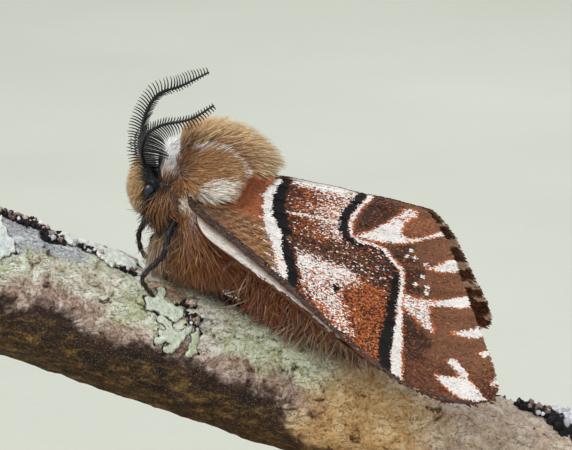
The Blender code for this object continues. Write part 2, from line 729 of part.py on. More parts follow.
def thorax_locks(grow):
    chance = random.Random(SEED)
    legs = [leg_path(route) for route in LEG_ROUTES.values()]
    abdomen = abdomen_path()
    locks = []
    for spot in spread(THORAX_SPOTS):
        root, normal = on_ellipsoid(spot, THORAX_CENTRE, THORAX_RADII, body_turn())
        height = 0.5 + 0.7 * normal.z
        size = [between([kind[k] for kind in THORAX_LOCKS], height) for k in range(3)]
        rises = [between([kind[k] for kind in THORAX_RISES], height) for k in range(2)]
        size, rises = strayed(chance, size, rises)
        if covered_thorax(spot, root, legs):
            continue
        over = roof_place(root)[1] > sum(WING_BAND) / 2
        clearances = [
            lambda point, margin: clear_of_tube(point, *abdomen, margin + FURTHER_ON),
            lambda point, margin: clear_of_wings(point, margin, over),
            clear_of_branch,
        ] + clear_of_legs(legs)
        lie = between(THORAX_LIES, height)
        locks.append(lock(LONG, root, normal, lie, size, rises, clearances, grow))
    return locks


def head_locks(grow):
    chance = random.Random(SEED + 1)
    shafts = [curve_through(route) for route in ANTENNA_ROUTES.values()]
    locks = []
    for spot in spread(HEAD_SPOTS):
        root, normal = on_ellipsoid(spot, HEAD_CENTRE, HEAD_RADII, Matrix.Identity(3))
        size, rises = strayed(chance, HEAD_LOCK, HEAD_RISE)
        eye = mirrored(EYE_CENTRE, math.copysign(1.0, root.y))
        if spot.x > NAPE_PLACE or (root - eye).length < EYE_RADIUS + EYE_MARGIN:
            continue
        if any((root - shaft(BARB_START / 2)).length < SHAFT_MARGIN for shaft in shafts):
            continue
        lie = HEAD_LIES[normal.z > 0.5].copy()
        lie.y = FACE_SPLAY * normal.y
        locks.append(lock(SHORT, root, normal, lie, size, rises, (), grow))
    return locks


def collar_locks(grow):
    chance = random.Random(SEED + 2)
    locks = []
    for i in range(COLLAR_LOCKS):
        turn = COLLAR_SPAN * 0.94 * (2 * i / (COLLAR_LOCKS - 1) - 1)
        size, rises = strayed(chance, COLLAR_LOCK, COLLAR_RISE)
        point, out = collar_point(turn, COLLAR_THICKNESS * 0.4)
        root = point + Vector((COLLAR_STAGGER * (-1) ** i, 0.0, 0.0))
        locks.append(lock(SHORT, root, out, Vector((1.0, 0.0, 0.0)), size, rises, (), grow))
    return locks


def tegula_locks(side, grow):
    chance = random.Random(SEED + 3)
    turn = tegula_turn(side)
    locks = []
    for i, count in enumerate(TEGULA_ROWS):
        x = TEGULA_RADII[0] * between(TEGULA_SPAN, i / (len(TEGULA_ROWS) - 1))
        for k in range(count):
            reach = TEGULA_RADII[2] * TEGULA_SPAN[0] * math.sqrt(1.0 - (x / TEGULA_RADII[0]) ** 2)
            z = reach * (2 * (k + 0.5) / count - 1)
            size, rises = strayed(chance, TEGULA_LOCK, TEGULA_RISE)
            place = Vector((x, side * TEGULA_RADII[1] * TEGULA_SPAN[0], z))
            root = mirrored(TEGULA_CENTRE, side) + turn @ place
            lie = turn @ Vector((1.0, 0.0, TEGULA_SPLAY * z))
            over = [lambda point, margin: clear_of_wings(point, margin, True)]
            locks.append(lock(SHORT, root, turn @ Vector((0.0, side, 0.0)), lie, size, rises, over, grow))
    return locks


def abdomen_locks(grow):
    chance = random.Random(SEED + 4)
    legs = [leg_path(route) for route in LEG_ROUTES.values()]
    curve = curve_through(ABDOMEN_SPINE)
    clearances = [lambda point, margin: clear_of_wings(point, margin, False), clear_of_branch]
    clearances += clear_of_legs(legs)
    locks = []
    for i in range(ABDOMEN_ROWS + 1):
        tail = i == ABDOMEN_ROWS
        share = TAIL_PLACE if tail else between(ABDOMEN_SPAN, i / (ABDOMEN_ROWS - 1))
        centre = curve(share)
        tangent = heading(curve, share)
        radius = between(ABDOMEN_RADII, share)
        count = TAIL_LOCKS if tail else ABDOMEN_ROUND
        for k in range(count):
            turn = math.tau * (k + 0.5 * (i % 2)) / count
            up = tangent.cross(Vector((0.0, 1.0, 0.0)))
            out = (up * math.cos(turn) + Vector((0.0, math.sin(turn), 0.0))).normalized()
            hanging = not tail and abs(out.y) > 0.5 and out.z < 0.75
            kind = "tail" if tail else "flank" if hanging else "back"
            size, rises = strayed(chance, ABDOMEN_LOCKS[kind], ABDOMEN_RISES[kind])
            lie = mirrored(FLANK_LIE, out.y) if hanging else tangent
            root = centre + out * (radius * (0.6 if tail else 1.0))
            locks.append(lock(LONG if hanging else SHORT, root, out, lie, size, rises, clearances, grow))
    return locks


# Every piece of each furred node, also made a little larger to cut its place in its neighbours

def furred(node, grow=0.0):
    if node == "thorax":
        return [thorax_core(grow)] + thorax_locks(grow)
    if node == "head":
        return [head_core(grow)] + head_locks(grow)
    if node == "collar":
        return [collar_core(grow)] + collar_locks(grow)
    if node == "abdomen":
        return [abdomen_core(grow)] + abdomen_locks(grow)
    side = SIDES[node.removeprefix("tegula_")]
    return [tegula_core(side, grow)] + tegula_locks(side, grow)


def wings_grown():
    return [make_wing("cut", wing, side, GAP) for side in SIDES.values() for wing in (FOREWING, HINDWING)]


def legs_grown(words):
    return [make_leg("cut", LEG_ROUTES[word], GAP) for word in words]


def face_grown():
    # what stands in the face: the eyes and the antennae
    eyes = [make_eye("cut", side, GAP) for side in SIDES.values()]
    return eyes + [piece for word in SIDES for piece in antenna_pieces(word, GAP)]


def make_furred(node, cutters, finish):
    core, *locks = furred(node)
    core.name = node
    combine(core, locks, "UNION")
    keep_largest(core)
    combine(core, cutters, "DIFFERENCE")
    keep_largest(core)
    dress(core, finish)


def make_body():
    tegulae = ["tegula_" + word for word in SIDES]
    forelegs = ["foreleg_" + word for word in SIDES]
    make_furred("collar", face_grown() + legs_grown(forelegs), "fur_white")
    make_furred("head", face_grown() + legs_grown(forelegs) + furred("collar", GAP), "fur_tan")
    for node in tegulae:
        make_furred(node, wings_grown() + furred("collar", GAP), "fur_brown")
    limbs = wings_grown() + legs_grown(LEG_ROUTES)
    make_furred("abdomen", limbs + [make_branch("cut", GAP)], "fur_brown")
    neighbours = [piece for node in ["collar", "head", "abdomen"] + tegulae for piece in furred(node, GAP)]
    limbs = wings_grown() + legs_grown(LEG_ROUTES)
    make_furred("thorax", limbs + [make_branch("cut", GAP)] + neighbours, "fur_tan")


def make_limbs():
    for word, side in SIDES.items():
        make_wing("forewing_" + word, FOREWING, side, 0.0, "wing_scales")
        make_wing("hindwing_" + word, HINDWING, side, 0.0, "wing_scales")
        make_eye("eye_" + word, side, 0.0, "black_cuticle")
        shaft, *barbs = antenna_pieces(word)
        shaft.name = "antenna_" + word
        combine(shaft, barbs, "UNION")
        keep_largest(shaft)
        dress(shaft, "black_cuticle")
    for word, route in LEG_ROUTES.items():
        make_leg(word, route, 0.0, "black_cuticle")


def make_stand():
    make_base("stand_base")
    make_rod("stand_rod", 0.0, "steel")
    branch = make_branch("perch_branch")
    combine(branch, [make_rod("cut", GAP)], "DIFFERENCE")
    keep_largest(branch)
    dress(branch, "bark")


clear_scene()
make_stand()
make_limbs()
make_body()
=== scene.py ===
# Looks of the kentish glory model: a male moth at rest on a cut, lichened branch, on its stand.
import math
import bpy
import numpy as np
from mathutils import Matrix, Vector, noise


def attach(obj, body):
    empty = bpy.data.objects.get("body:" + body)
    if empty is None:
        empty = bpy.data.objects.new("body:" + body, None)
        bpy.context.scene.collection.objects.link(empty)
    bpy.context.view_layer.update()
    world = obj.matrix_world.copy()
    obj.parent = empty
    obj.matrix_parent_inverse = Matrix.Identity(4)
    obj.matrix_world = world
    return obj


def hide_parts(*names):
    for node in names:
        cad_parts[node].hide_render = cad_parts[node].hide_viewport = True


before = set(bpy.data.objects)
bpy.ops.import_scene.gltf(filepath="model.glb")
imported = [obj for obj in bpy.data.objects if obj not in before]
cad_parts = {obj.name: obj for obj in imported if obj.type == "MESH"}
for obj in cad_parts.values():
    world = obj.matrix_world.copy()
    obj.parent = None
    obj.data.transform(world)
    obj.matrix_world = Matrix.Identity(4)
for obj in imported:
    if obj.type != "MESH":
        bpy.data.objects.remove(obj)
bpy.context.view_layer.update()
mm = 0.001
sides = ((-1, "Left"), (1, "Right"))
patchSize, patchRoom = 0.003, 0.99  # a scale's or tuft's own spot in the unwrap, and the room for all


# Small helpers for numbers

def linear(red, green, blue):
    # a colour given 0 to 255, as the linear numbers that shaders use
    parts = [part / 255 for part in (red, green, blue)]
    return tuple(p / 12.92 if p <= 0.04045 else ((p + 0.055) / 1.055) ** 2.4 for p in parts)


def smooth(values, low, high):
    share = np.clip((np.asarray(values, float) - low) / (high - low), 0, 1)
    return share * share * (3 - 2 * share)


def blendRows(first, second, share):
    share = np.asarray(share, float)[:, None]
    return np.asarray(first) * (1 - share) + np.asarray(second) * share


def unit(rows):
    return rows / np.maximum(np.linalg.norm(rows, axis=1), 1e-9)[:, None]


def dots(first, second):
    return (first * second).sum(1)


def along(values, share):
    # evenly spaced values read at a share from 0 to 1
    return np.interp(share, np.linspace(0, 1, len(values)), values)


def curvePoints(points, count):
    # a smooth curve through the points, as the solids use, at evenly spaced places
    points = np.array(points, float)
    reach = np.concatenate([[0], np.cumsum(np.linalg.norm(np.diff(points, axis=0), axis=1))])
    slopes = np.empty_like(points)
    slopes[1:-1] = (points[2:] - points[:-2]) / (reach[2:] - reach[:-2])[:, None]
    slopes[0] = (points[1] - points[0]) / reach[1]
    slopes[-1] = (points[-1] - points[-2]) / (reach[-1] - reach[-2])
    places = np.linspace(0, 1, count) * reach[-1]
    piece = np.clip(np.searchsorted(reach, places, "right") - 1, 0, len(points) - 2)
    span = (reach[piece + 1] - reach[piece])[:, None]
    s = (places - reach[piece])[:, None] / span
    return (points[piece] * (2 * s**3 - 3 * s**2 + 1) + slopes[piece] * span * (s**3 - 2 * s**2 + s)
            + points[piece + 1] * (3 * s**2 - 2 * s**3) + slopes[piece + 1] * span * (s**3 - s**2))


def headings(path):
    return unit(np.gradient(path, axis=0))


# Materials: a Wire is a socket that takes part in sums, a Finish makes the nodes

class Wire:
    def __init__(self, finish, socket):
        self.finish = finish
        self.socket = socket

    def sum(self, operation, first, second):
        return self.finish.node("ShaderNodeMath", {"operation": operation}, {0: first, 1: second})

    def __add__(self, other):
        return self.sum("ADD", self, other)

    def __sub__(self, other):
        return self.sum("SUBTRACT", self, other)

    def __rsub__(self, other):
        return self.sum("SUBTRACT", other, self)

    def __mul__(self, other):
        return self.sum("MULTIPLY", self, other)

    __radd__ = __add__
    __rmul__ = __mul__


class Finish:
    def __init__(self, name, **constants):
        self.material = bpy.data.materials.new(name)
        self.material.use_nodes = True
        self.tree = self.material.node_tree
        self.shader = self.tree.nodes["Principled BSDF"]
        self.set(**constants)

    def feed(self, socket, value):
        if isinstance(value, Wire):
            self.tree.links.new(value.socket, socket)
        elif socket.type == "RGBA":
            socket.default_value = (*linear(*value), 1)
        else:
            socket.default_value = value

    def node(self, kind, settings=None, values=None, out=0):
        made = self.tree.nodes.new(kind)
        for key, value in (settings or {}).items():
            if key == "stops":
                while len(made.color_ramp.elements) < len(value):
                    made.color_ramp.elements.new(0.5)
                for element, (place, colour) in zip(made.color_ramp.elements, value):
                    element.position = place
                    element.color = (*linear(*colour), 1)
            else:
                setattr(made, key, value)
        for key, value in (values or {}).items():
            self.feed(made.inputs[key], value)
        return Wire(self, made.outputs[out])

    def place(self, stretch=(1, 1, 1), turn=(0, 0, 0)):
        # object coordinates in millimetres, stretched and turned for a pattern
        spot = self.node("ShaderNodeTexCoord", out="Object")
        sizes = tuple(1000 * s for s in stretch)
        return self.node("ShaderNodeMapping", None, {"Vector": spot, "Scale": sizes, "Rotation": turn})

    def noise(self, scale, detail=3, rough=0.55, spot=None, twist=0):
        return self.node("ShaderNodeTexNoise", None, {
            "Vector": spot or self.place(), "Scale": scale, "Detail": detail, "Roughness": rough,
            "Distortion": twist})

    def cells(self, scale):
        return self.node("ShaderNodeTexVoronoi", None, {"Vector": self.place(), "Scale": scale})

    def ramp(self, factor, *stops):
        return self.node("ShaderNodeValToRGB", {"stops": stops}, {0: factor})

    def step(self, value, low, high):
        # 0 below low, 1 above high
        return self.node("ShaderNodeMapRange", {"interpolation_type": "SMOOTHSTEP"}, {
            "Value": value, "From Min": low, "From Max": high})

    def layers(self, colour, *layers):
        # lays colours over the first, each by its share
        for share, over in layers:
            colour = self.node("ShaderNodeMix", {"data_type": "RGBA"}, {0: share, 6: colour, 7: over}, 2)
        return colour

    def tint(self, value):
        # the piece's own tint, made darker or lighter
        tint = self.node("ShaderNodeAttribute", {"attribute_name": "tint"}, out="Color")
        return self.node("ShaderNodeHueSaturation", None, {"Color": tint, "Value": value})

    def bump(self, height, strength, distance):
        self.set(Normal=self.node("ShaderNodeBump", None, {
            "Height": height, "Strength": strength, "Distance": distance * mm}))

    def set(self, **sockets):
        for key, value in sockets.items():
            self.feed(self.shader.inputs[key.replace("_", " ")], value)


def furFinish():
    # hair: the tint of each tuft, broken by fine streaks and small shade differences
    finish = Finish("fur", Sheen_Weight=0.25, Sheen_Roughness=0.45, Specular_IOR_Level=0.3)
    streak = finish.noise(9, 2)
    broad = finish.noise(0.8, 2)
    finish.set(Base_Color=finish.tint(0.8 + 0.25 * streak + 0.15 * broad), Roughness=0.5 + 0.24 * streak)
    finish.bump(streak, 0.3, 0.05)
    return finish.material


def scaleFinish():
    # wing scales: the tint of each, in fine dull grains
    finish = Finish("wingScale", Specular_IOR_Level=0.2)
    fine = finish.noise(14, 2)
    finish.set(Base_Color=finish.tint(0.78 + 0.44 * fine), Roughness=0.45 + 0.3 * fine)
    finish.bump(fine, 0.25, 0.03)
    return finish.material


def cuticleFinish():
    # glossy black skin with a faint bluish bloom and fine pits
    finish = Finish("blackCuticle", Specular_IOR_Level=0.35)
    bloom = finish.noise(2.2, 3)
    tone = finish.ramp(bloom, (0.35, (9, 8, 9)), (0.75, (26, 25, 29)))
    finish.set(Base_Color=tone, Roughness=0.3 + 0.3 * bloom)
    finish.bump(finish.cells(16), 0.35, 0.03)
    return finish.material


def eyeFinish():
    # a compound eye: tiny facets under a clear gloss
    finish = Finish("eye", Coat_Weight=0.35, Coat_Roughness=0.2, Roughness=0.38)
    finish.set(Base_Color=finish.ramp(finish.noise(3, 2), (0.3, (10, 10, 14)), (0.8, (34, 40, 58))))
    finish.bump(finish.cells(22), 0.4, 0.02)
    return finish.material


def addObject(name, data):
    made = bpy.data.objects.new(name, data)
    bpy.context.scene.collection.objects.link(made)
    return made


# Pieces

def dress(piece, material, slot, *nodes):
    piece.data.materials.clear()
    piece.data.materials.append(material)
    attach(piece, "root")
    if nodes:
        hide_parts(*nodes)
    return piece


def joinedMesh(name, points, triangles, tints=None, patches=None):
    # many small things as one mesh: points in millimetres, tints and patches given for each point
    mesh = bpy.data.meshes.new(name)
    corners = np.asarray(triangles, np.int32).ravel()
    mesh.vertices.add(len(points))
    mesh.vertices.foreach_set("co", (np.asarray(points, float) * mm).astype(np.float32).ravel())
    mesh.loops.add(len(corners))
    mesh.loops.foreach_set("vertex_index", corners)
    mesh.polygons.add(len(corners) // 3)
    mesh.polygons.foreach_set("loop_start", np.arange(0, len(corners), 3, dtype=np.int32))
    mesh.polygons.foreach_set("use_smooth", np.ones(len(corners) // 3, bool))
    mesh.update(calc_edges=True)
    piece = addObject(name, mesh)
    if tints is not None:
        writeTint(piece, tints)
    if patches is not None:
        uv = mesh.uv_layers.new(name="OFBake")
        uv.data.foreach_set("uv", np.asarray(patches)[corners].astype(np.float32).ravel())
    return piece


def readRows(rows, key, width, kind=float):
    values = np.empty(len(rows) * width, kind)
    rows.foreach_get(key, values)
    return values.reshape(-1, width)


def takeMesh(name):
    # names the new active piece and brings its place into its mesh
    piece = bpy.context.object
    piece.name = name
    bpy.ops.object.transform_apply(location=True, rotation=True, scale=True)
    return piece


def readPoints(piece):
    return readRows(piece.data.vertices, "co", 3) / mm


def onWhole(operator, **values):
    # an edit mode operator on all of the active piece
    bpy.ops.object.mode_set(mode="EDIT")
    bpy.ops.mesh.select_all(action="SELECT")
    operator(**values)
    bpy.ops.object.mode_set(mode="OBJECT")


def writePoints(piece, points):
    piece.data.vertices.foreach_set("co", (points * mm).astype(np.float32).ravel())
    piece.data.update()


def writeTint(piece, colours):
    attribute = piece.data.attributes.new("tint", "FLOAT_COLOR", "POINT")
    rows = np.column_stack([colours, np.ones(len(colours))]).astype(np.float32)
    attribute.data.foreach_set("color", rows.ravel())


def applyAll(piece):
    bpy.context.view_layer.objects.active = piece
    for modifier in list(piece.modifiers):
        bpy.ops.object.modifier_apply(modifier=modifier.name)


def deselect():
    bpy.ops.object.select_all(action="DESELECT")


def makeTube(paths, radii, sides):
    # closed tubes along paths of the same number of points, their radii given for each point
    paths = np.asarray(paths, float)
    count, stations = paths.shape[:2]
    radii = np.broadcast_to(np.asarray(radii, float), (count, stations))
    ahead = np.gradient(paths, axis=1)
    ahead /= np.linalg.norm(ahead, axis=2)[:, :, None]
    side = np.cross(ahead, np.array([0.13, 0.31, 0.94]))  # a slanting direction that no path takes
    side /= np.linalg.norm(side, axis=2)[:, :, None]
    up = np.cross(side, ahead)
    turns = np.arange(sides) * math.tau / sides
    ring = side[:, :, None] * np.cos(turns)[:, None] + up[:, :, None] * np.sin(turns)[:, None]
    rings = (paths[:, :, None] + ring * radii[:, :, None, None]).reshape(count, stations * sides, 3)
    points = np.concatenate([rings, paths[:, :1], paths[:, -1:]], axis=1)
    faces = []
    for i in range(stations - 1):
        for k in range(sides):
            near, far = i * sides + k, i * sides + (k + 1) % sides
            faces += [(near, near + sides, far + sides), (near, far + sides, far)]
    last = (stations - 1) * sides
    for k in range(sides):
        faces += [(stations * sides, k, (k + 1) % sides)]
        faces += [(stations * sides + 1, last + (k + 1) % sides, last + k)]
    shift = np.arange(count)[:, None, None] * points.shape[1]
    return points.reshape(-1, 3), (np.array(faces)[None] + shift).reshape(-1, 3)


def joinParts(parts):
    points, faces, start = [], [], 0
    for partPoints, partFaces in parts:
        points.append(partPoints)
        faces.append(np.asarray(partFaces) + start)
        start += len(partPoints)
    return np.concatenate(points), np.concatenate(faces)


# The branch: a cut length, sloping down to the right

branchSettings = {
    "slope": math.radians(20.05), "middle": 19.8, "radius": 4.9, "taper": 0.0163, "half length": 26.0,
    "round": 160, "long": 250,
    # each relief of the bark: how fine and how high
    "relief": ((0.22, 0.16), (0.85, 0.15), (2.4, 0.07)), "relief shift": (3.1, 7.7, 1.3),
}
slope = branchSettings["slope"]
branchAlong = np.array([math.cos(slope), 0, -math.sin(slope)])
branchOver = np.array([math.sin(slope), 0, math.cos(slope)])
branchMiddle = np.array([0, 0, branchSettings["middle"]])


def branchRadius(reach):
    return branchSettings["radius"] - branchSettings["taper"] * reach


def barkRelief(point):
    # the bark's swells, lumps and grain at a point given in millimetres
    spot, shift = Vector(point), Vector(branchSettings["relief shift"])
    height = 0.0
    for scale, size in branchSettings["relief"]:
        height += size * noise.noise(spot * scale + shift)
    return height


def barkPoint(reach, turn, lift=0.0):
    # a point over the bark: reach along the branch, turned from its top towards the camera's side
    out = branchOver * math.cos(turn) + np.array([0, -math.sin(turn), 0])
    base = branchMiddle + branchAlong * reach + out * branchRadius(reach)
    return base + out * (barkRelief(base) + lift), out


def makeBranch():
    deselect()
    round_, cuts = branchSettings["round"], branchSettings["long"]
    bpy.ops.mesh.primitive_cylinder_add(vertices=round_, radius=1, depth=2, end_fill_type="TRIFAN")
    piece = bpy.context.object
    bpy.ops.object.mode_set(mode="EDIT")
    bpy.ops.mesh.select_mode(type="EDGE")
    bpy.ops.mesh.select_all(action="DESELECT")
    bpy.ops.object.mode_set(mode="OBJECT")
    for edge in piece.data.edges:
        ends = [piece.data.vertices[i].co for i in edge.vertices]
        edge.select = abs(ends[0].z - ends[1].z) > 1
    bpy.ops.object.mode_set(mode="EDIT")
    bpy.ops.mesh.subdivide(number_cuts=cuts)
    bpy.ops.object.mode_set(mode="OBJECT")
    piece = takeMesh("branchBark")
    rough = readPoints(piece) * mm
    reach = rough[:, 2] * branchSettings["half length"]
    turn = np.arctan2(-rough[:, 1], rough[:, 0])
    inside = np.hypot(rough[:, 0], rough[:, 1])
    points = np.empty_like(rough)
    for i in range(len(points)):
        centre = branchMiddle + branchAlong * reach[i]
        points[i] = centre + (barkPoint(reach[i], turn[i])[0] - centre) * inside[i]
    writePoints(piece, points)
    onWhole(bpy.ops.mesh.normals_make_consistent, inside=False)
    bpy.ops.object.shade_smooth_by_angle(angle=math.radians(50))
    dress(piece, barkFinish(), "bark", "perch_branch")
    piece.data.materials.append(cutWoodFinish())
    for face in piece.data.polygons:
        middle = np.array(face.center) / mm - branchMiddle
        if abs(middle @ branchAlong) > branchSettings["half length"] - 0.02:
            face.material_index = 1
            face.use_smooth = False
    print("branch made")


def barkFinish():
    # bark in bands round the branch: pale lichen crust, pink-brown, dark olive below with painted shade
    # darkening the underside, ochre to the right
    finish = Finish("barkLichened", Specular_IOR_Level=0.3)
    step, layers = finish.step, finish.layers
    parts = finish.tree.nodes.new("ShaderNodeSeparateXYZ")
    finish.tree.links.new(finish.place(turn=(0, -slope, 0)).socket, parts.inputs[0])
    reach = Wire(finish, parts.outputs[0]) + branchSettings["middle"] * math.sin(slope)
    height = Wire(finish, parts.outputs[2]) - branchSettings["middle"] * math.cos(slope)
    broad = finish.noise(0.2, 3, 0.55)
    patches = finish.noise(0.75, 8, 0.66, twist=0.8)
    grain = finish.noise(4.6, 5, 0.7)
    fine = finish.noise(13, 3, 0.6)
    flow = finish.noise(1.1, 7, 0.68, finish.place((0.55, 1.2, 1.4), (0, -slope, 0)), twist=0.4)

    def mottled(*tones):
        # four tones, dark to pale, in patches broken by the grain
        return finish.ramp(patches * 0.62 + grain * 0.38, *zip((0.36, 0.44, 0.51, 0.61), tones))

    crust = mottled((100, 84, 68), (184, 174, 148), (226, 221, 200), (252, 251, 244))
    green = mottled((96, 92, 60), (174, 178, 134), (214, 220, 184), (244, 246, 228))
    pink = mottled((66, 42, 34), (136, 98, 82), (186, 154, 138), (226, 206, 192))
    blue = mottled((78, 74, 84), (140, 140, 156), (176, 178, 194), (228, 230, 236))
    ochre = mottled((110, 76, 56), (192, 148, 94), (224, 184, 126), (244, 218, 174))
    pale = mottled((130, 104, 104), (200, 176, 158), (230, 210, 190), (250, 240, 228))
    redBrown = mottled((48, 32, 28), (150, 102, 80), (192, 146, 120), (224, 190, 168))
    # the underside: dark olive with ochre flecks, its near-black part painted shade
    under = finish.ramp(flow * 0.4 + grain * 0.35 + patches * 0.25, (0.4, (14, 9, 7)), (0.48, (46, 32, 19)),
                        (0.55, (106, 78, 36)), (0.64, (176, 142, 82)))
    maroon = finish.ramp(grain, (0.35, (20, 10, 10)), (0.6, (62, 34, 28)), (0.75, (120, 88, 72)))
    plum = finish.ramp(grain, (0.35, (64, 40, 44)), (0.65, (132, 104, 98)))
    # the zones, with wavy borders
    wavy = height + 5 * (broad - 0.5) + 3 * (patches - 0.5)
    right = step(reach + 10 * (broad - 0.5) + 6 * (patches - 0.5), -0.5, 4.0)
    top = step(wavy, 3.6, 4.8) * step(0 - reach - 4 * patches, 14.5, 17)
    blotches = step(broad * 0.5 + patches * 0.5, 0.57, 0.63) * right
    saddle = step(wavy, 4.6, 5.4) * step(0 - reach, 5, 7) * step(reach, -11, -9)
    belt = step(reach, -7, -4) * step(0 - reach, -4.5, -1) * step(wavy, 0.5, 2.5)
    # how low a place lies round the branch: lower is darker, partly the bark's colour, partly painted shade
    shade = wavy + 2.2 * right
    end = step(reach + 4 * patches, 11, 15)
    smoothBark = layers(ochre, (step(wavy, 2.6, 4.2) * 0.6, pale), (end * 0.7, pale))
    # a flaked red-brown patch by the forefoot
    lengthways, across = (reach + 10.9) * 0.5, (height - 4.35) * 1.7
    flake = step(patches * 6 - (lengthways * lengthways + across * across), 2.1, 2.6)
    # dark dots, winding cracks and holes, then pale grains
    dotsSeen = step(finish.cells(2.3), 0.17, 0.1) * step(grain, 0.5, 0.56)
    winding = finish.node("ShaderNodeMath", {"operation": "ABSOLUTE"}, {0: flow - 0.5})
    cracks = step(winding, 0.012, 0.004) * step(patches, 0.47, 0.52)
    holes = step(patches * 0.5 + flow * 0.5, 0.415, 0.385)
    colour = layers(
        crust, (step(patches * 0.4 + broad, 0.64, 0.73) * 0.8, green),
        (step(0 - wavy, -2.6, -0.8) * 0.85, pink), (top * 0.75, blue), (blotches * 0.5, plum),
        (saddle * 0.5, blue), (right, smoothBark), (belt * 0.6, green),
        # maroon, then dark olive towards the underside: bark colour and painted shade
        (step(0 - shade, -0.8, 0.5) * (1 - 0.5 * right), maroon), (step(0 - shade, 0.2, 1.4), under),
        (flake * 0.85, redBrown), (flake * (1 - flake) * 2.4, (38, 28, 24)),
        (dotsSeen * 0.85, (36, 26, 22)), (cracks * 0.8, (40, 30, 26)), (holes * 0.75, (34, 24, 20)),
        (step(fine, 0.62, 0.7) * 0.5, (246, 242, 232)), (step(fine, 0.4, 0.32) * 0.45, (58, 46, 38)))
    finish.set(Base_Color=colour, Roughness=0.64 + 0.3 * grain)
    raised = patches * 1.6 + grain * 0.5 + flow + 0.12 * fine
    finish.bump(raised - 0.5 * holes - 0.35 * cracks - 0.3 * dotsSeen, 1.0, 0.34)
    return finish.material


def cutWoodFinish():
    # the two sawn ends: rings round the pith
    finish = Finish("branchCutEnd", Specular_IOR_Level=0.3)
    pith = (0, 0.9, 0.7 - branchSettings["middle"] * math.cos(slope))
    centred = finish.node("ShaderNodeMapping", None, {
        "Vector": finish.place(turn=(0, -slope, 0)), "Location": pith})
    rings = finish.node("ShaderNodeTexWave", {"wave_type": "RINGS", "rings_direction": "X"}, {
        "Vector": centred, "Scale": 0.42, "Distortion": 5, "Detail": 3, "Detail Scale": 0.25,
        "Detail Roughness": 0.5})
    grain = finish.noise(5, 5, 0.65)
    broad = finish.noise(0.5, 3)
    tone = finish.ramp(rings * 0.12 + grain * 0.48 + broad * 0.4, (0.34, (140, 104, 68)),
                       (0.5, (180, 146, 102)), (0.66, (208, 180, 138)))
    finish.set(Base_Color=tone, Roughness=0.65 + 0.2 * grain)
    finish.bump(0.2 * rings + grain, 0.4, 0.08)
    return finish.material


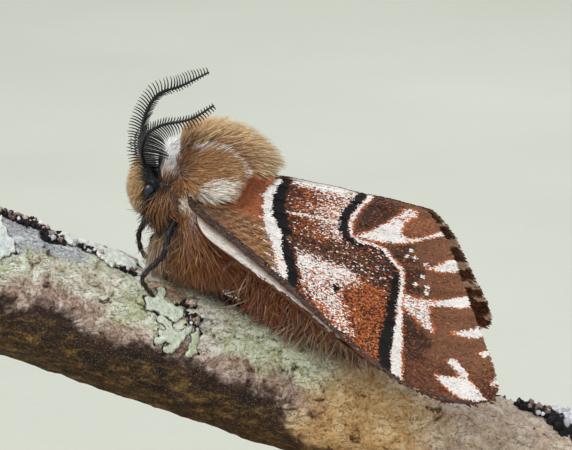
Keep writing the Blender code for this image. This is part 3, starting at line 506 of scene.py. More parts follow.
lichenSettings = {
    # outlines of the leafy plates: reach along the branch and way round it in millimetres
    "plates": (
        ((-12.15, 2.88), (-11.94, 2.45), (-11.61, 2.59), (-11.36, 3.43), (-11.01, 3.85), (-10.62, 3.96),
         (-10.0, 3.61), (-9.72, 3.98), (-9.65, 4.62), (-10.06, 5.04), (-10.52, 5.1), (-10.95, 4.89),
         (-11.66, 4.92), (-12.3, 4.8), (-12.79, 4.35), (-12.7, 3.82), (-12.25, 3.7), (-11.85, 3.87),
         (-11.97, 3.41)),
        ((-11.32, 5.41), (-11.16, 4.98), (-10.59, 4.98), (-10.27, 5.23), (-10.16, 5.64), (-9.81, 5.8),
         (-9.28, 5.6), (-8.75, 5.03), (-8.57, 5.21), (-8.85, 5.8), (-9.02, 6.34), (-9.14, 6.86), (-9.34, 7.3),
         (-10.13, 7.59), (-10.4, 7.37), (-10.07, 7.09), (-9.88, 6.85), (-10.4, 6.95), (-10.78, 7.2),
         (-11.15, 7.05), (-11.04, 6.74), (-10.45, 6.55), (-10.99, 6.45), (-11.0, 6.1), (-10.5, 6.05),
         (-10.5, 5.75), (-11.05, 5.7)),
        ((-8.57, 5.57), (-8.21, 4.81), (-7.95, 5.46), (-7.89, 6.16), (-7.61, 6.76), (-7.87, 7.22),
         (-8.29, 7.2), (-8.31, 6.67), (-8.39, 6.1)),
        ((-18.3, 0.2), (-17.6, -0.5), (-16.6, -0.3), (-15.9, -0.8), (-14.9, -0.2), (-14.3, 0.6), (-14.1, 1.3),
         (-14.0, 2.0), (-14.6, 1.75), (-15.18, 1.94), (-15.82, 1.61), (-15.93, 2.31), (-16.46, 2.05),
         (-16.89, 1.69), (-17.52, 1.45), (-18.08, 0.83)),
        ((-14.0, 0.2), (-13.2, -0.4), (-12.3, -0.3), (-12.2, 0.5), (-12.9, 1.0), (-13.6, 0.9)),
        ((-25.2, 1.2), (-25.0, 1.95), (-24.63, 2.54), (-24.13, 3.13), (-23.68, 3.69), (-23.27, 4.08),
         (-23.26, 4.49), (-23.61, 4.9), (-24.16, 5.3), (-25.2, 5.3)),
        ((-20.5, 0.2), (-19.4, -0.4), (-18.0, 0.0), (-17.2, 0.8), (-17.8, 1.6), (-18.8, 1.3), (-19.6, 1.6),
         (-20.6, 1.1)),
        ((-18.6, -2.6), (-17.2, -3.2), (-15.8, -2.6), (-14.8, -3.3), (-13.9, -2.6), (-14.6, -1.9),
         (-15.9, -1.4), (-16.6, -1.8), (-17.6, -1.5)),
        ((-9.5, -7.6), (-8.0, -8.4), (-6.6, -7.6), (-5.7, -8.2), (-5.0, -7.2), (-6.2, -6.4), (-7.4, -6.6),
         (-8.6, -6.0)),
        ((10.4, -6.0), (11.6, -6.9), (13.2, -6.4), (14.2, -7.2), (15.0, -6.2), (13.9, -5.3), (12.6, -5.6),
         (11.3, -4.9)),
        ((2.5, -9.2), (3.9, -9.9), (5.2, -9.2), (6.3, -9.9), (6.9, -8.9), (5.6, -8.1), (4.0, -8.4)),
    ),
    "kinds": (0, 0, 1, 2, 2, 3, 2, 2, 0, 1, 0),
    "tones": ((196, 204, 184), (176, 186, 150), (214, 218, 208), (200, 206, 202)),
    # the dark colour round each plate is painted shadow of the plate on the bark
    "rim": (232, 232, 220), "speck": (92, 86, 70), "painted shadow": (22, 18, 16),
    "cell": 0.1, "height": 0.2, "depth": 0.42, "shadow width": 0.14,
    "crumb tones": ((30, 26, 28), (220, 220, 224), (184, 158, 142), (128, 108, 100)),  # dark, then pale ones
    # dark crumbs with pale tops: reach, way round, spread along and round, count, share of pale ones, size
    "crumbs": ((-23.6, 0.2, 1.9, 0.8, 420, 0.1, 1), (-20.9, 1.75, 0.9, 0.45, 110, 0.08, 1),
               (19.3, 0.0, 1.6, 0.8, 320, 0.06, 1.4), (22.8, 0.5, 2.2, 1.5, 560, 0.08, 1.8),
               (22.2, -1.3, 1.5, 0.6, 230, 0.75, 1.8), (-17.9, 1.3, 1.1, 0.16, 60, 0.1, 1),
               (-14.7, 2.15, 0.6, 0.12, 40, 0.1, 1), (16.5, -4.0, 1.6, 1.2, 90, 0.3, 1),
               (-8.7, 4.5, 0.7, 0.5, 70, 0.2, 1), (-9.4, 3.3, 0.5, 0.3, 40, 0.3, 1)),
}


def lichenPlate(outline, tone):
    # a thin plate with a pale rim and a dark band of painted shadow just outside it, whose margin dips below
    # the bark
    set_ = lichenSettings
    outline = np.array(outline)
    low, high = outline.min(0) - 0.4, outline.max(0) + 0.4
    counts = np.ceil((high - low) / set_["cell"]).astype(int) + 1
    columns, rows = [np.linspace(low[k], high[k], counts[k]) for k in (0, 1)]
    reach, way = [grid.ravel() for grid in np.meshgrid(columns, rows, indexing="ij")]
    wobble = 0.1 * np.sin(reach * 5.3 + way * 2.1) + 0.07 * np.sin(way * 8.7 - reach * 3.3)
    depth = patchDepth(outline, reach, way) + wobble
    lift = set_["height"] * smooth(depth, -0.02, 0.07) * (0.75 + 0.5 * smooth(depth, 0.7, 0.1))
    lift = lift + 0.03 * np.sin(reach * 7.1) * np.sin(way * 6.3) * smooth(depth, 0, 0.2)
    # the sheet runs on just past the outline, where it carries the painted shadow, then dips below the bark
    lift = lift + 0.03 - 0.3 * smooth(depth, -set_["shadow width"], -set_["shadow width"] - 0.08)
    points = np.empty((2, len(reach), 3))
    for i in range(len(reach)):
        surface, out = barkPoint(reach[i], way[i] / branchRadius(reach[i]))
        points[0, i] = surface + out * lift[i]
        points[1, i] = surface - out * set_["depth"]
    index = np.arange(len(reach)).reshape(counts)
    a, b = index[:-1, :-1].ravel(), index[1:, :-1].ravel()
    c, d = index[1:, 1:].ravel(), index[:-1, 1:].ravel()
    top = np.concatenate([np.column_stack([a, d, c]), np.column_stack([a, c, b])])
    loop = np.concatenate([index[:-1, 0], index[-1, :-1], index[:0:-1, -1], index[0, :0:-1]])
    after, under = np.roll(loop, -1), len(reach)
    wall = np.concatenate([np.column_stack([loop, after, after + under]),
                           np.column_stack([loop, after + under, loop + under])])
    faces = np.concatenate([top, top[:, ::-1] + under, wall])
    mottle = 0.9 + 0.14 * np.sin(reach * 11 + 3 * np.sin(way * 4)) * np.sin(way * 9)
    speck = np.sin(reach * 9.1 + 2 * np.sin(way * 7)) * np.sin(way * 11.7 + 1.7 * np.sin(reach * 5))
    leaf = np.array(linear(*set_["tones"][tone])) * mottle[:, None]
    shade = blendRows(leaf, linear(*set_["rim"]), smooth(depth, 0.16, 0.04) * 0.7)
    shade = blendRows(shade, linear(*set_["speck"]), smooth(speck, 0.7, 0.9) * 0.6)
    # a dark band just outside the outline: painted shadow of the plate on the bark
    shade = blendRows(linear(*set_["painted shadow"]), shade, smooth(depth, -0.04, 0.02))
    return points.reshape(-1, 3), faces, np.tile(shade, (2, 1))


def makeLichens():
    chance = np.random.default_rng(7)
    outlines = zip(lichenSettings["plates"], lichenSettings["kinds"])
    plates = [lichenPlate(outline, tone) for outline, tone in outlines]
    points, faces = joinParts([plate[:2] for plate in plates])
    piece = joinedMesh("lichenLeaves", points, faces, np.concatenate([plate[2] for plate in plates]))
    finish = Finish("lichenLeaf", Specular_IOR_Level=0.2)
    fine = finish.noise(6, 5, 0.65)
    soft = finish.noise(1.6, 3, 0.6)
    finish.set(Base_Color=finish.tint(0.55 + 0.4 * fine + 0.5 * soft), Roughness=0.75 + 0.2 * fine)
    finish.bump(fine, 0.5, 0.06)
    dress(piece, finish.material, "bark")
    deselect()
    bpy.ops.mesh.primitive_ico_sphere_add(subdivisions=1, radius=1)
    crumb = bpy.context.object
    ball = readPoints(crumb) * mm
    corners = np.array([list(face.vertices) for face in crumb.data.polygons])
    bpy.data.objects.remove(crumb)
    parts, tints = [], []
    dark, *brights = [np.array(linear(*tone)) for tone in lichenSettings["crumb tones"]]
    for reach, way, far, wide, count, pale, large in lichenSettings["crumbs"]:
        for _ in range(count):
            place, aside = chance.normal(0, 0.5, 2)
            spot = reach + place * far
            if abs(spot) > branchSettings["half length"] - 0.5:
                continue
            light = chance.random() < pale
            lift = chance.uniform(0.1, 0.38) * large if light else chance.uniform(-0.12, 0.22)
            point, _ = barkPoint(spot, (way + aside * wide) / branchRadius(spot), lift)
            size = chance.uniform(0.09, 0.27, 3) * large
            bumps = 1 + 0.5 * np.sin(ball @ chance.normal(0, 3, (3, 3))).mean(1)
            parts.append((point + ball * bumps[:, None] * size, corners))
            shade = brights[0 if large > 1.5 else chance.integers(3)] if light else dark
            tints.append(np.tile(shade * chance.uniform(0.55, 1.15), (len(ball), 1)))
    points, faces = joinParts(parts)
    piece = joinedMesh("lichenCrumbs", points, faces, np.concatenate(tints))
    finish = Finish("lichenCrumb", Specular_IOR_Level=0.25)
    fine = finish.noise(8, 4, 0.7)
    finish.set(Base_Color=finish.tint(0.6 + 0.8 * fine), Roughness=0.7 + 0.25 * fine)
    finish.bump(fine, 0.6, 0.08)
    dress(piece, finish.material, "bark")
    print("lichens made")


# The wings: a roof of four, each in its own places a along the ridge and b down the slope

wingSettings = {
    "origin": (-0.46, 0.0, 36.6), "fall": math.radians(13.9), "roof": math.radians(41.0), "camber": 0.9,
    "thickness": 0.14, "vein height": 0.09, "vein width": 0.017, "far reach": 0.05,
}
foreShape = {
    "word": "forewing", "lift": -0.06, "grid": (110, 62), "scales": 52000, "under scales": 7000,
    "inner": ((-6.0, 3.3), (-3.2, 1.6), (1.0, 0.73), (5.9, 0.42), (9.9, 0.2)),
    "costa": ((-6.6, 4.0), (-6.2, 5.3), (-3.1, 7.5), (3.4, 11.9), (9.4, 15.5), (13.9, 17.1), (17.0, 17.1),
              (18.95, 16.3)),
    "termen": ((9.9, 0.2), (11.2, 0.4), (12.5, 1.6), (14.35, 5.2), (16.2, 9.3), (18.3, 13.2), (19.15, 15.3),
               (18.95, 16.3)),
    "root": ((-6.0, 3.3), (-6.6, 4.0)), "costa slant": 0.82,
    "veins": (0.1, 0.24, 0.37, 0.5, 0.62, 0.74, 0.86),
}
hindShape = {
    "word": "hindwing", "lift": -1.0, "grid": (64, 36), "scales": 9000, "under scales": 4500,
    "inner": ((-5.0, 3.7), (-2.4, 2.5), (2.5, 1.8), (8.6, 1.7)),
    "costa": ((-5.6, 4.4), (-5.3, 5.9), (-4.3, 7.2), (1.9, 11.0), (7.5, 14.1), (12.0, 15.3)),
    "termen": ((8.6, 1.7), (10.6, 3.6), (12.4, 7.5), (13.0, 12.0), (12.0, 15.3)),
    "root": ((-5.0, 3.7), (-5.6, 4.4)), "costa slant": 0.85, "veins": (0.16, 0.34, 0.52, 0.7, 0.86),
}
wingOrigin = np.array(wingSettings["origin"])


def wingAxes(side):
    fall, roof = wingSettings["fall"], wingSettings["roof"]
    ridge = np.array([math.cos(fall), 0, -math.sin(fall)])
    drop = np.array([-math.sin(fall), 0, -math.cos(fall)])
    level = np.array([0, side, 0])
    return (ridge, level * math.cos(roof) + drop * math.sin(roof),
            level * math.sin(roof) - drop * math.cos(roof))


def camber(a, b):
    return wingSettings["camber"] * np.maximum(0, 1 - ((b - 8) / 8.5) ** 2) * np.clip((a + 7) / 10, 0, 1)


def wingPoints(a, b, lift, side):
    # the far wings reach a little further back than the near ones
    ridge, down, outward = wingAxes(side)
    height = camber(a, b) + lift
    if side > 0:
        a = a + wingSettings["far reach"] * np.maximum(a - 5, 0)
    return wingOrigin + a[:, None] * ridge + b[:, None] * down + height[:, None] * outward


def wingPlaces(points, side):
    # the way back: each point's a and b
    ridge, down, _ = wingAxes(side)
    offset = points - wingOrigin
    a, b = offset @ ridge, offset @ down
    if side > 0:
        reach = wingSettings["far reach"]
        a = a - reach / (1 + reach) * np.maximum(a - 5, 0)
    return a, b


def wingRipple(u, a, b):
    return 0.04 * np.sin(a * 1.7 + b * 0.6) * smooth(u, 0.2, 0.6)


def onWing(shape, u, v):
    # a and b at shares u, root to termen, and v, inner margin to costa
    edges = {key: curvePoints(shape[key], 160) for key in ("inner", "costa", "termen", "root")}

    def read(key, share):
        return np.column_stack([along(edges[key][:, k], share) for k in (0, 1)])

    u2, v2 = u[:, None], v[:, None]
    across = read("inner", u) * (1 - v2) + read("costa", u) * v2
    ends = read("root", v) * (1 - u2) + read("termen", v) * u2
    low = edges["inner"][0] * (1 - u2) + edges["inner"][-1] * u2
    high = edges["costa"][0] * (1 - u2) + edges["costa"][-1] * u2
    flat = across + ends - (low * (1 - v2) + high * v2)
    return flat[:, 0], flat[:, 1]


def veinHeight(shape, u, v):
    width = wingSettings["vein width"]
    near = sum(np.exp(-((v - vein) / width) ** 2) for vein in shape["veins"])
    return wingSettings["vein height"] * near * smooth(u, 0.1, 0.35)


# The markings of the wings, as outlines and lines in a and b

markings = {
    "white inner": ((-0.8, 0.6), (-0.8, 1.1), (-1.2, 2.9), (-0.8, 5.0), (-0.3, 6.2), (0.3, 7.2), (0.9, 8.8),
                    (1.3, 10.0), (1.7, 11.2)),
    "black inner": ((0.2, 0.6), (-0.2, 2.3), (-0.3, 3.2), (-0.1, 4.6), (0.5, 5.6), (0.9, 6.2), (1.0, 7.1),
                    (1.1, 7.7), (1.6, 8.9), (1.9, 9.9), (1.9, 10.6), (2.1, 11.4)),
    "middle": ((1.0, 0.6), (0.75, 2.1), (0.75, 3.3), (0.95, 4.3), (1.4, 5.3), (1.85, 6.2), (1.95, 7.3),
               (2.3, 8.6), (2.65, 9.4), (2.95, 10.5), (3.1, 11.6)),
    "outer line": ((7.5, -0.8), (7.2, -0.1), (6.9, 0.9), (6.4, 1.9), (6.0, 2.9), (5.9, 3.9), (6.1, 5.0),
                   (6.7, 5.4), (7.8, 5.3), (8.8, 5.6), (9.5, 6.4), (10.3, 7.1), (10.5, 7.9), (10.6, 9.0),
                   (10.6, 9.8), (10.8, 11.2), (10.9, 12.2), (11.0, 13.5), (11.1, 14.4), (11.25, 15.3),
                   (11.4, 16.1), (11.6, 17.4)),
    "line width": (0.16, 0.18, 0.16, 0.12, 0.1, 0.12, 0.13, 0.14, 0.15, 0.18, 0.26, 0.4, 0.42, 0.48),
    "black width": (0.85, 0.85, 0.85, 0.9, 0.5, 0.22, 0.3, 0.55, 0.75, 0.95, 1.15, 1.35, 1.15, 1.0),
    "stripe width": (0.75, 0.62, 0.36, 0.24, 0.2, 0.2),
    "hand": ((6.6, 4.9), (7.3, 4.3), (7.8, 3.7), (8.5, 3.0), (9.2, 2.0), (9.8, 1.1), (10.2, 0.8), (10.8, 0.9),
             (10.7, 1.5), (10.0, 2.2), (9.8, 3.0), (9.8, 3.6), (10.4, 4.0), (11.1, 3.9), (10.0, 4.5),
             (8.9, 4.7), (7.7, 4.9)),
    "wedges": (
        ((10.3, 4.0), (11.5, 3.5), (12.5, 2.7), (13.1, 2.0), (13.4, 2.5), (12.4, 3.1), (11.5, 3.7),
         (10.6, 4.2)),
        ((12.2, 6.4), (13.1, 5.8), (13.9, 5.1), (14.7, 4.7), (15.1, 5.5), (14.1, 6.2), (13.2, 6.4)),
        ((12.3, 9.4), (13.7, 9.0), (14.8, 8.4), (15.9, 7.9), (16.4, 8.8), (15.0, 9.3), (13.8, 9.4),
         (12.9, 9.6)),
        ((14.9, 11.6), (15.8, 11.2), (16.9, 10.6), (17.3, 11.1), (16.9, 11.5), (15.7, 11.7)),
        ((17.3, 12.7), (17.9, 12.4), (18.2, 12.6), (17.6, 13.0)),
        ((18.5, 15.0), (18.8, 14.5), (19.1, 14.5), (18.8, 15.1)),
        ((14.9, 14.0), (15.5, 13.7), (16.1, 14.2), (16.7, 14.7), (16.6, 15.1), (16.1, 14.9), (15.4, 14.4)),
        ((14.3, 15.3), (15.1, 15.3), (15.9, 15.1), (16.7, 15.1), (17.3, 15.5), (18.1, 16.2), (18.9, 16.5),
         (18.2, 16.6), (17.3, 16.7), (16.4, 16.7), (15.5, 16.2), (14.9, 15.9)),
    ),
    "speckled triangle": ((10.5, 9.2), (11.8, 9.4), (13.2, 9.3), (12.9, 10.0), (13.1, 10.8), (13.6, 11.9),
                          (12.7, 11.6), (11.9, 11.0), (11.0, 10.5)),
    "orange patch": ((9.9, 2.1), (10.9, 1.4), (11.8, 1.7), (12.3, 2.6), (11.4, 3.3), (10.5, 3.8), (9.9, 3.3)),
    "dark patches": (((7.3, 0.2), (9.6, 0.6), (8.6, 2.7), (7.6, 3.7), (6.6, 4.3), (6.4, 3.5), (6.7, 1.9)),
                     ((10.0, 4.2), (11.0, 4.6), (10.5, 5.7), (11.6, 6.0), (10.4, 6.3), (9.4, 5.6)),
                     ((10.5, 6.9), (12.2, 6.4), (12.1, 7.3), (11.4, 8.1), (12.8, 8.8), (10.9, 8.9)),
                     ((11.2, 11.0), (12.6, 12.0), (13.6, 12.8), (13.2, 14.6), (11.8, 14.4), (11.3, 12.6)),
                     ((17.3, 15.5), (18.3, 15.5), (18.9, 15.2), (19.1, 15.7), (18.8, 16.2), (18.0, 16.0))),
    "dots": ((10.8, 5.0), (10.5, 5.7), (11.2, 5.7), (12.1, 6.0), (12.0, 7.2), (11.6, 8.1), (12.5, 8.2),
             (12.5, 8.7)),
    "white wedge": ((2.0, 7.7), (3.3, 8.0), (4.8, 8.2), (6.3, 8.4), (7.2, 9.1), (5.8, 9.7), (5.7, 10.4),
                    (6.5, 12.1), (7.4, 13.7), (6.1, 12.8), (4.7, 11.6), (3.5, 10.6), (2.6, 9.2)),
    "orange field": ((6.1, 9.6), (7.2, 9.1), (9.5, 9.7), (9.8, 11.9), (9.6, 13.7), (9.9, 15.3), (7.8, 14.4),
                     (6.7, 12.4), (6.0, 10.5)),
    "dark streak": ((1.2, 6.4), (2.4, 6.2), (3.9, 5.9), (6.2, 5.5), (8.4, 5.9), (10.0, 7.6), (10.2, 9.6),
                    (9.4, 9.5), (7.6, 8.9), (5.9, 8.5), (4.1, 8.1), (1.9, 7.7)),
    "pale vein": ((0.9, 4.0), (2.0, 4.05), (3.5, 4.0), (4.9, 3.95)),
    "discal dot": ((5.35, 9.95), (6.0, 10.0), (5.95, 10.3), (5.7, 10.55)),
}
wingColours = {name: linear(*colour) for name, colour in {
    "white": (226, 220, 214), "cream": (228, 218, 202), "orange": (184, 98, 48),
    "rust": (172, 88, 42), "black": (14, 10, 10), "dark": (58, 34, 24),
    "brown": (108, 70, 48), "light brown": (127, 85, 60), "red brown": (84, 42, 26),
    "tan": (186, 130, 76), "grey brown": (76, 62, 58), "deep": (40, 24, 18),
    "under": (96, 56, 36), "under bar": (216, 182, 160),
}.items()}


def lineGap(line, a, b):
    # signed distance from a drawn line, more than 0 on its outer side, and the share along it
    line = np.array(line, float)
    starts, spans = line[:-1], np.diff(line, axis=0)
    offsets = np.column_stack([a, b])[:, None] - starts[None]
    lengths = (spans**2).sum(1)
    shares = np.clip((offsets * spans).sum(2) / lengths, 0, 1)
    away = offsets - shares[:, :, None] * spans
    gaps = np.hypot(away[:, :, 0], away[:, :, 1])
    pick = gaps.argmin(1)
    row = np.arange(len(a))
    crossed = spans[pick, 0] * away[row, pick, 1] - spans[pick, 1] * away[row, pick, 0]
    return np.where(crossed < 0, 1, -1) * gaps[row, pick], (pick + shares[row, pick]) / len(spans)


def patchDepth(outline, a, b):
    # how far inside an outline a place lies, less than 0 outside it
    outline = np.array(outline, float)
    ends = np.roll(outline, -1, axis=0)
    gaps = np.full(len(a), 1e9)
    inside = np.zeros(len(a), bool)
    for (x0, y0), (x1, y1) in zip(outline, ends):
        dx, dy = x1 - x0, y1 - y0
        share = np.clip(((a - x0) * dx + (b - y0) * dy) / (dx * dx + dy * dy), 0, 1)
        gaps = np.minimum(gaps, np.hypot(a - x0 - share * dx, b - y0 - share * dy))
        if dy:
            inside ^= ((y0 > b) != (y1 > b)) & (a < x0 + (b - y0) * dx / dy)
    return np.where(inside, gaps, -gaps)


def edgeAt(line, b):
    line = np.array(line)
    return np.interp(b, line[:, 1], line[:, 0])


def costaDepth(shape, a, b):
    # how far a place lies inside the wing's leading edge
    edge = curvePoints(shape["costa"], 120)
    return (np.interp(a, edge[:, 0], edge[:, 1]) - b) * shape["costa slant"]


def plain(name, a):
    return np.tile(wingColours[name], (len(a), 1))


def paint(colours, chance, *layers):
    # lays colours over those there, one by one: each scale takes it or not, as its own chance falls
    for name, share in layers:
        share = np.clip(share, 0, 1) + np.zeros(len(colours))
        if chance is not None:
            share = (chance.random(len(share)) < share) * 1.0
        colours = blendRows(colours, wingColours[name], share)
    return colours


def foreTint(a, b, chance=None):
    # the colour of each scale of a forewing's outer side, or the mean colour where chance is None
    if chance is not None:
        a, b = a + chance.normal(0, 0.05, len(a)), b + chance.normal(0, 0.05, len(a))

    def inside(outline, low, high):
        return smooth(patchDepth(outline, a, b), low, high)

    line, share = lineGap(markings["outer line"], a, b)
    bands = ("white inner", "black inner", "middle")
    inner, black, middle = [a - edgeAt(markings[name], b) for name in bands]
    field = smooth(middle, -0.2, 0.3)
    upper = field * smooth(b, 6.0, 5.2)
    frost = smooth(a + 0.5 * np.sin(b * 2.2), 2.1, 5.7)
    streak = inside(markings["dark streak"], -0.15, 0.25)
    lower = smooth(b, 7.6, 8.4) * field
    amber = inside(markings["orange field"], -0.6, 0.4)
    wedge = inside(markings["white wedge"], -0.75, 0.35) * smooth(middle, 0.0, 0.3)
    vein, _ = lineGap(markings["pale vein"], a, b)
    c = paint(
        plain("tan", a), chance,
        # basal field, brown hair below and rust above
        ("dark", 0.38 + 0.2 * np.sin(a * 9 + b * 5)),
        ("rust", 0.92 * smooth(b - 0.3 * a, 6.8, 5.2) * smooth(a, -4.6, -3.2)),
        ("orange", 0.25),
        # inner bands
        ("orange", smooth(inner, -0.5, -0.05) * 0.8),
        ("white", smooth(inner, -1.0, 0.0) * smooth(b, 4.6, 5.6) * 0.6),
        ("white", smooth(inner, -0.12, 0.12) * (1 - 0.3 * smooth(b, 7.5, 9.5))),
        ("black", smooth(black, -0.08, 0.08)),
        # middle field: red brown with orange and white scales, frosted towards the outer band
        ("red brown", field), ("brown", field * 0.2), ("orange", field * 0.27), ("white", field * 0.06),
        ("dark", field * smooth(middle, 1.8, 0.2) * 0.5),
        ("orange", upper * frost * 0.5), ("white", upper * frost * 0.62),
        ("white", field * smooth(b, 1.35, 0.75) * smooth(a, 5.8, 5.0) * 0.9),
        # the dark streak through its middle
        ("dark", streak * 0.85), ("brown", streak * 0.4), ("deep", streak * (0.2 + 0.4 * smooth(a, 7, 9.5))),
        ("orange", streak * 0.05), ("white", streak * 0.045),
        # the warm field and the white wedge below it, the pale vein and the dot
        ("orange", lower * (1 - streak) * 0.45),
        ("rust", inside(markings["orange field"], -0.8, 0.3) * 0.75),
        ("tan", amber * 0.14), ("red brown", amber * 0.22), ("dark", lower * (1 - streak) * 0.33),
        ("orange", wedge * 0.4), ("white", wedge * (0.56 + 0.26 * smooth(b, 9.6, 8.4))),
        ("white", smooth(np.abs(vein), 0.14, 0.06) * 0.9),
        ("black", inside(markings["discal dot"], -0.05, 0.03)))
    # outer field: brown, with dark patches, the white hand, wedges and dots
    fill = paint(
        plain("brown", a), chance,
        ("light brown", smooth(line, 2.0, 5.0) * 0.6), ("dark", smooth(line, 1.6, 0.4) * 0.45),
        *[("dark", inside(outline, -0.3, 0.3) * 0.8) for outline in markings["dark patches"]],
        ("orange", inside(markings["orange patch"], -0.5, 0.3) * 0.16), ("orange", 0.018),
        ("red brown", smooth(b, 13, 15.5) * 0.5), ("orange", inside(markings["hand"], -0.28, -0.02) * 0.8),
        ("white", inside(markings["hand"], -0.14, 0.1) * (0.72 + 0.26 * smooth(b, 1.6, 3.4))),
        *[layer for outline in markings["wedges"] for layer in (
            ("orange", inside(outline, -0.2, -0.02) * 0.75), ("white", inside(outline, -0.08, 0.06)))],
        ("orange", inside(markings["speckled triangle"], -0.3, 0) * 0.6),
        ("white", inside(markings["speckled triangle"], -0.12, 0.1) * 0.72),
        *[("white", smooth(np.hypot(a - x, b - y), 0.22, 0.1) * 0.9) for x, y in markings["dots"]])
    c = blendRows(c, fill, smooth(line, -0.04, 0.04))
    # outer black band and the white line beside it, then the leading edge: a stripe and a thin pale rim
    bandWidth, lineWidth = along(markings["black width"], share), along(markings["line width"], share)
    rim = np.abs(line) - lineWidth
    costa = costaDepth(foreShape, a, b)
    stripe = smooth(costa, along(markings["stripe width"], np.clip((a + 6.5) / 25, 0, 1)) + 0.08, 0)
    stripe = smooth(stripe, 0.02, 0.25)
    return paint(
        c, chance,
        ("black", smooth(line, -bandWidth - 0.3, -bandWidth + 0.15) * smooth(line, 0.12, 0.0)),
        ("orange", smooth(rim, 0.26, 0.02) * smooth(line, -0.1, 0.1) * 0.85),
        ("orange", smooth(rim, 0.14, 0.0) * 0.45), ("white", smooth(rim, 0.07, -0.07)),
        ("grey brown", stripe),
        ("deep", stripe * (0.3 + 0.3 * np.sin(costa * 34 + 1.5 * np.sin(a * 1.3)))),
        ("light brown", stripe * 0.08), ("tan", smooth(costa, 0.1, 0.03) * smooth(a, 5, 7) * 0.15))


def underTint(a, b, chance=None):
    # the under side of a forewing: brown, with pale bars towards its outer edge
    line, _ = lineGap(markings["outer line"], a, b)
    bars = [smooth(patchDepth(outline, a, b), -0.22, 0.0) * 0.9 for outline in markings["wedges"]]
    return paint(
        plain("under", a), chance, ("rust", smooth(a, 8, 0) * 0.5), ("deep", smooth(a, 9, 13) * 0.35),
        *[("under bar", bar) for bar in bars],
        ("white", smooth(b, 1.0, 0.4) * smooth(a, 6.4, 5.6) * smooth(a, 0.6, 1.1) * 0.9),
        ("under bar", smooth(np.abs(line), 0.4, 0.15) * 0.7))


def hindTint(a, b, chance=None):
    # the outer side of a hindwing: rust, with a cream strip that shows below the forewing
    depth = np.where(a < -4.3, 0.3, costaDepth(hindShape, a, b))
    return paint(
        plain("rust", a), chance, ("tan", 0.25), ("cream", smooth(depth, 1.9, 1.5)),
        ("white", smooth(depth, 1.5, 0.2) * 0.5),
        ("under", (depth < 0.04 + 0.1 * smooth(a, -3, 5)) * smooth(a, -4, -2)),
        ("deep", smooth(np.abs(a - 7.3), 0.7, 0.4)))


def hindUnderTint(a, b, chance=None):
    # the under side of a hindwing: rust and brown, a cream line and a dark dot
    return paint(
        plain("rust", a), chance, ("under", 0.35 + 0.25 * np.sin(a * 1.1)),
        ("cream", smooth(np.abs(a - 6.0 - 0.15 * b), 0.5, 0.2) * 0.6),
        ("black", smooth(np.hypot(a - 1.5, b - 8.5), 0.7, 0.4) * 0.7),
        ("under", smooth(costaDepth(hindShape, a, b), 1.2, 0.9) * smooth(a, -4.5, -3)))


def makeMembrane(shape, side, word, tintOut, tintUnder, material):
    nu, nv = shape["grid"]
    deselect()
    bpy.ops.mesh.primitive_grid_add(x_subdivisions=nu, y_subdivisions=nv, size=2)
    piece = takeMesh(shape["word"] + word + "Membrane")
    flat = readPoints(piece) * mm
    u, v = (flat[:, 0] + 1) / 2, (flat[:, 1] + 1) / 2
    a, b = onWing(shape, u, v)
    writePoints(piece, wingPoints(a, b, shape["lift"] + veinHeight(shape, u, v) + wingRipple(u, a, b), side))
    uv = piece.data.uv_layers.active or piece.data.uv_layers.new()
    uv.name = "OFBake"
    if side < 0:
        onWhole(bpy.ops.mesh.flip_normals)
    shell = piece.modifiers.new("thickness", "SOLIDIFY")
    shell.thickness = wingSettings["thickness"] * mm
    shell.offset = -1
    applyAll(piece)
    a, b = wingPlaces(readPoints(piece), side)
    outside = (np.arange(len(a)) < (nu + 1) * (nv + 1))[:, None]
    writeTint(piece, np.where(outside, tintOut(a, b), tintUnder(a, b)))
    bpy.ops.object.shade_smooth_by_angle(angle=math.radians(40))
    return dress(piece, material, "wing_scales", shape["word"] + "_" + word.lower())


def scatterOnWing(shape, count, chance):
    # even places over the wing: shares are drawn, and kept as often as the surface is wide there
    u, v = chance.random(count * 3), chance.random(count * 3)
    a, b = onWing(shape, u, v)
    step = 0.004
    au, bu = onWing(shape, np.minimum(u + step, 1), v)
    av, bv = onWing(shape, u, np.minimum(v + step, 1))
    area = np.abs((au - a) * (bv - b) - (av - a) * (bu - b))
    keep = chance.random(len(u)) < area / np.quantile(area, 0.98)
    pick = np.nonzero(keep)[0][:count]
    return u[pick], v[pick], a[pick], b[pick]


def scaleLie(a, b):
    # scales point away from the wing's root
    lie = np.column_stack([a + 9.0, (b - 4.2) * 0.8])
    return unit(lie)


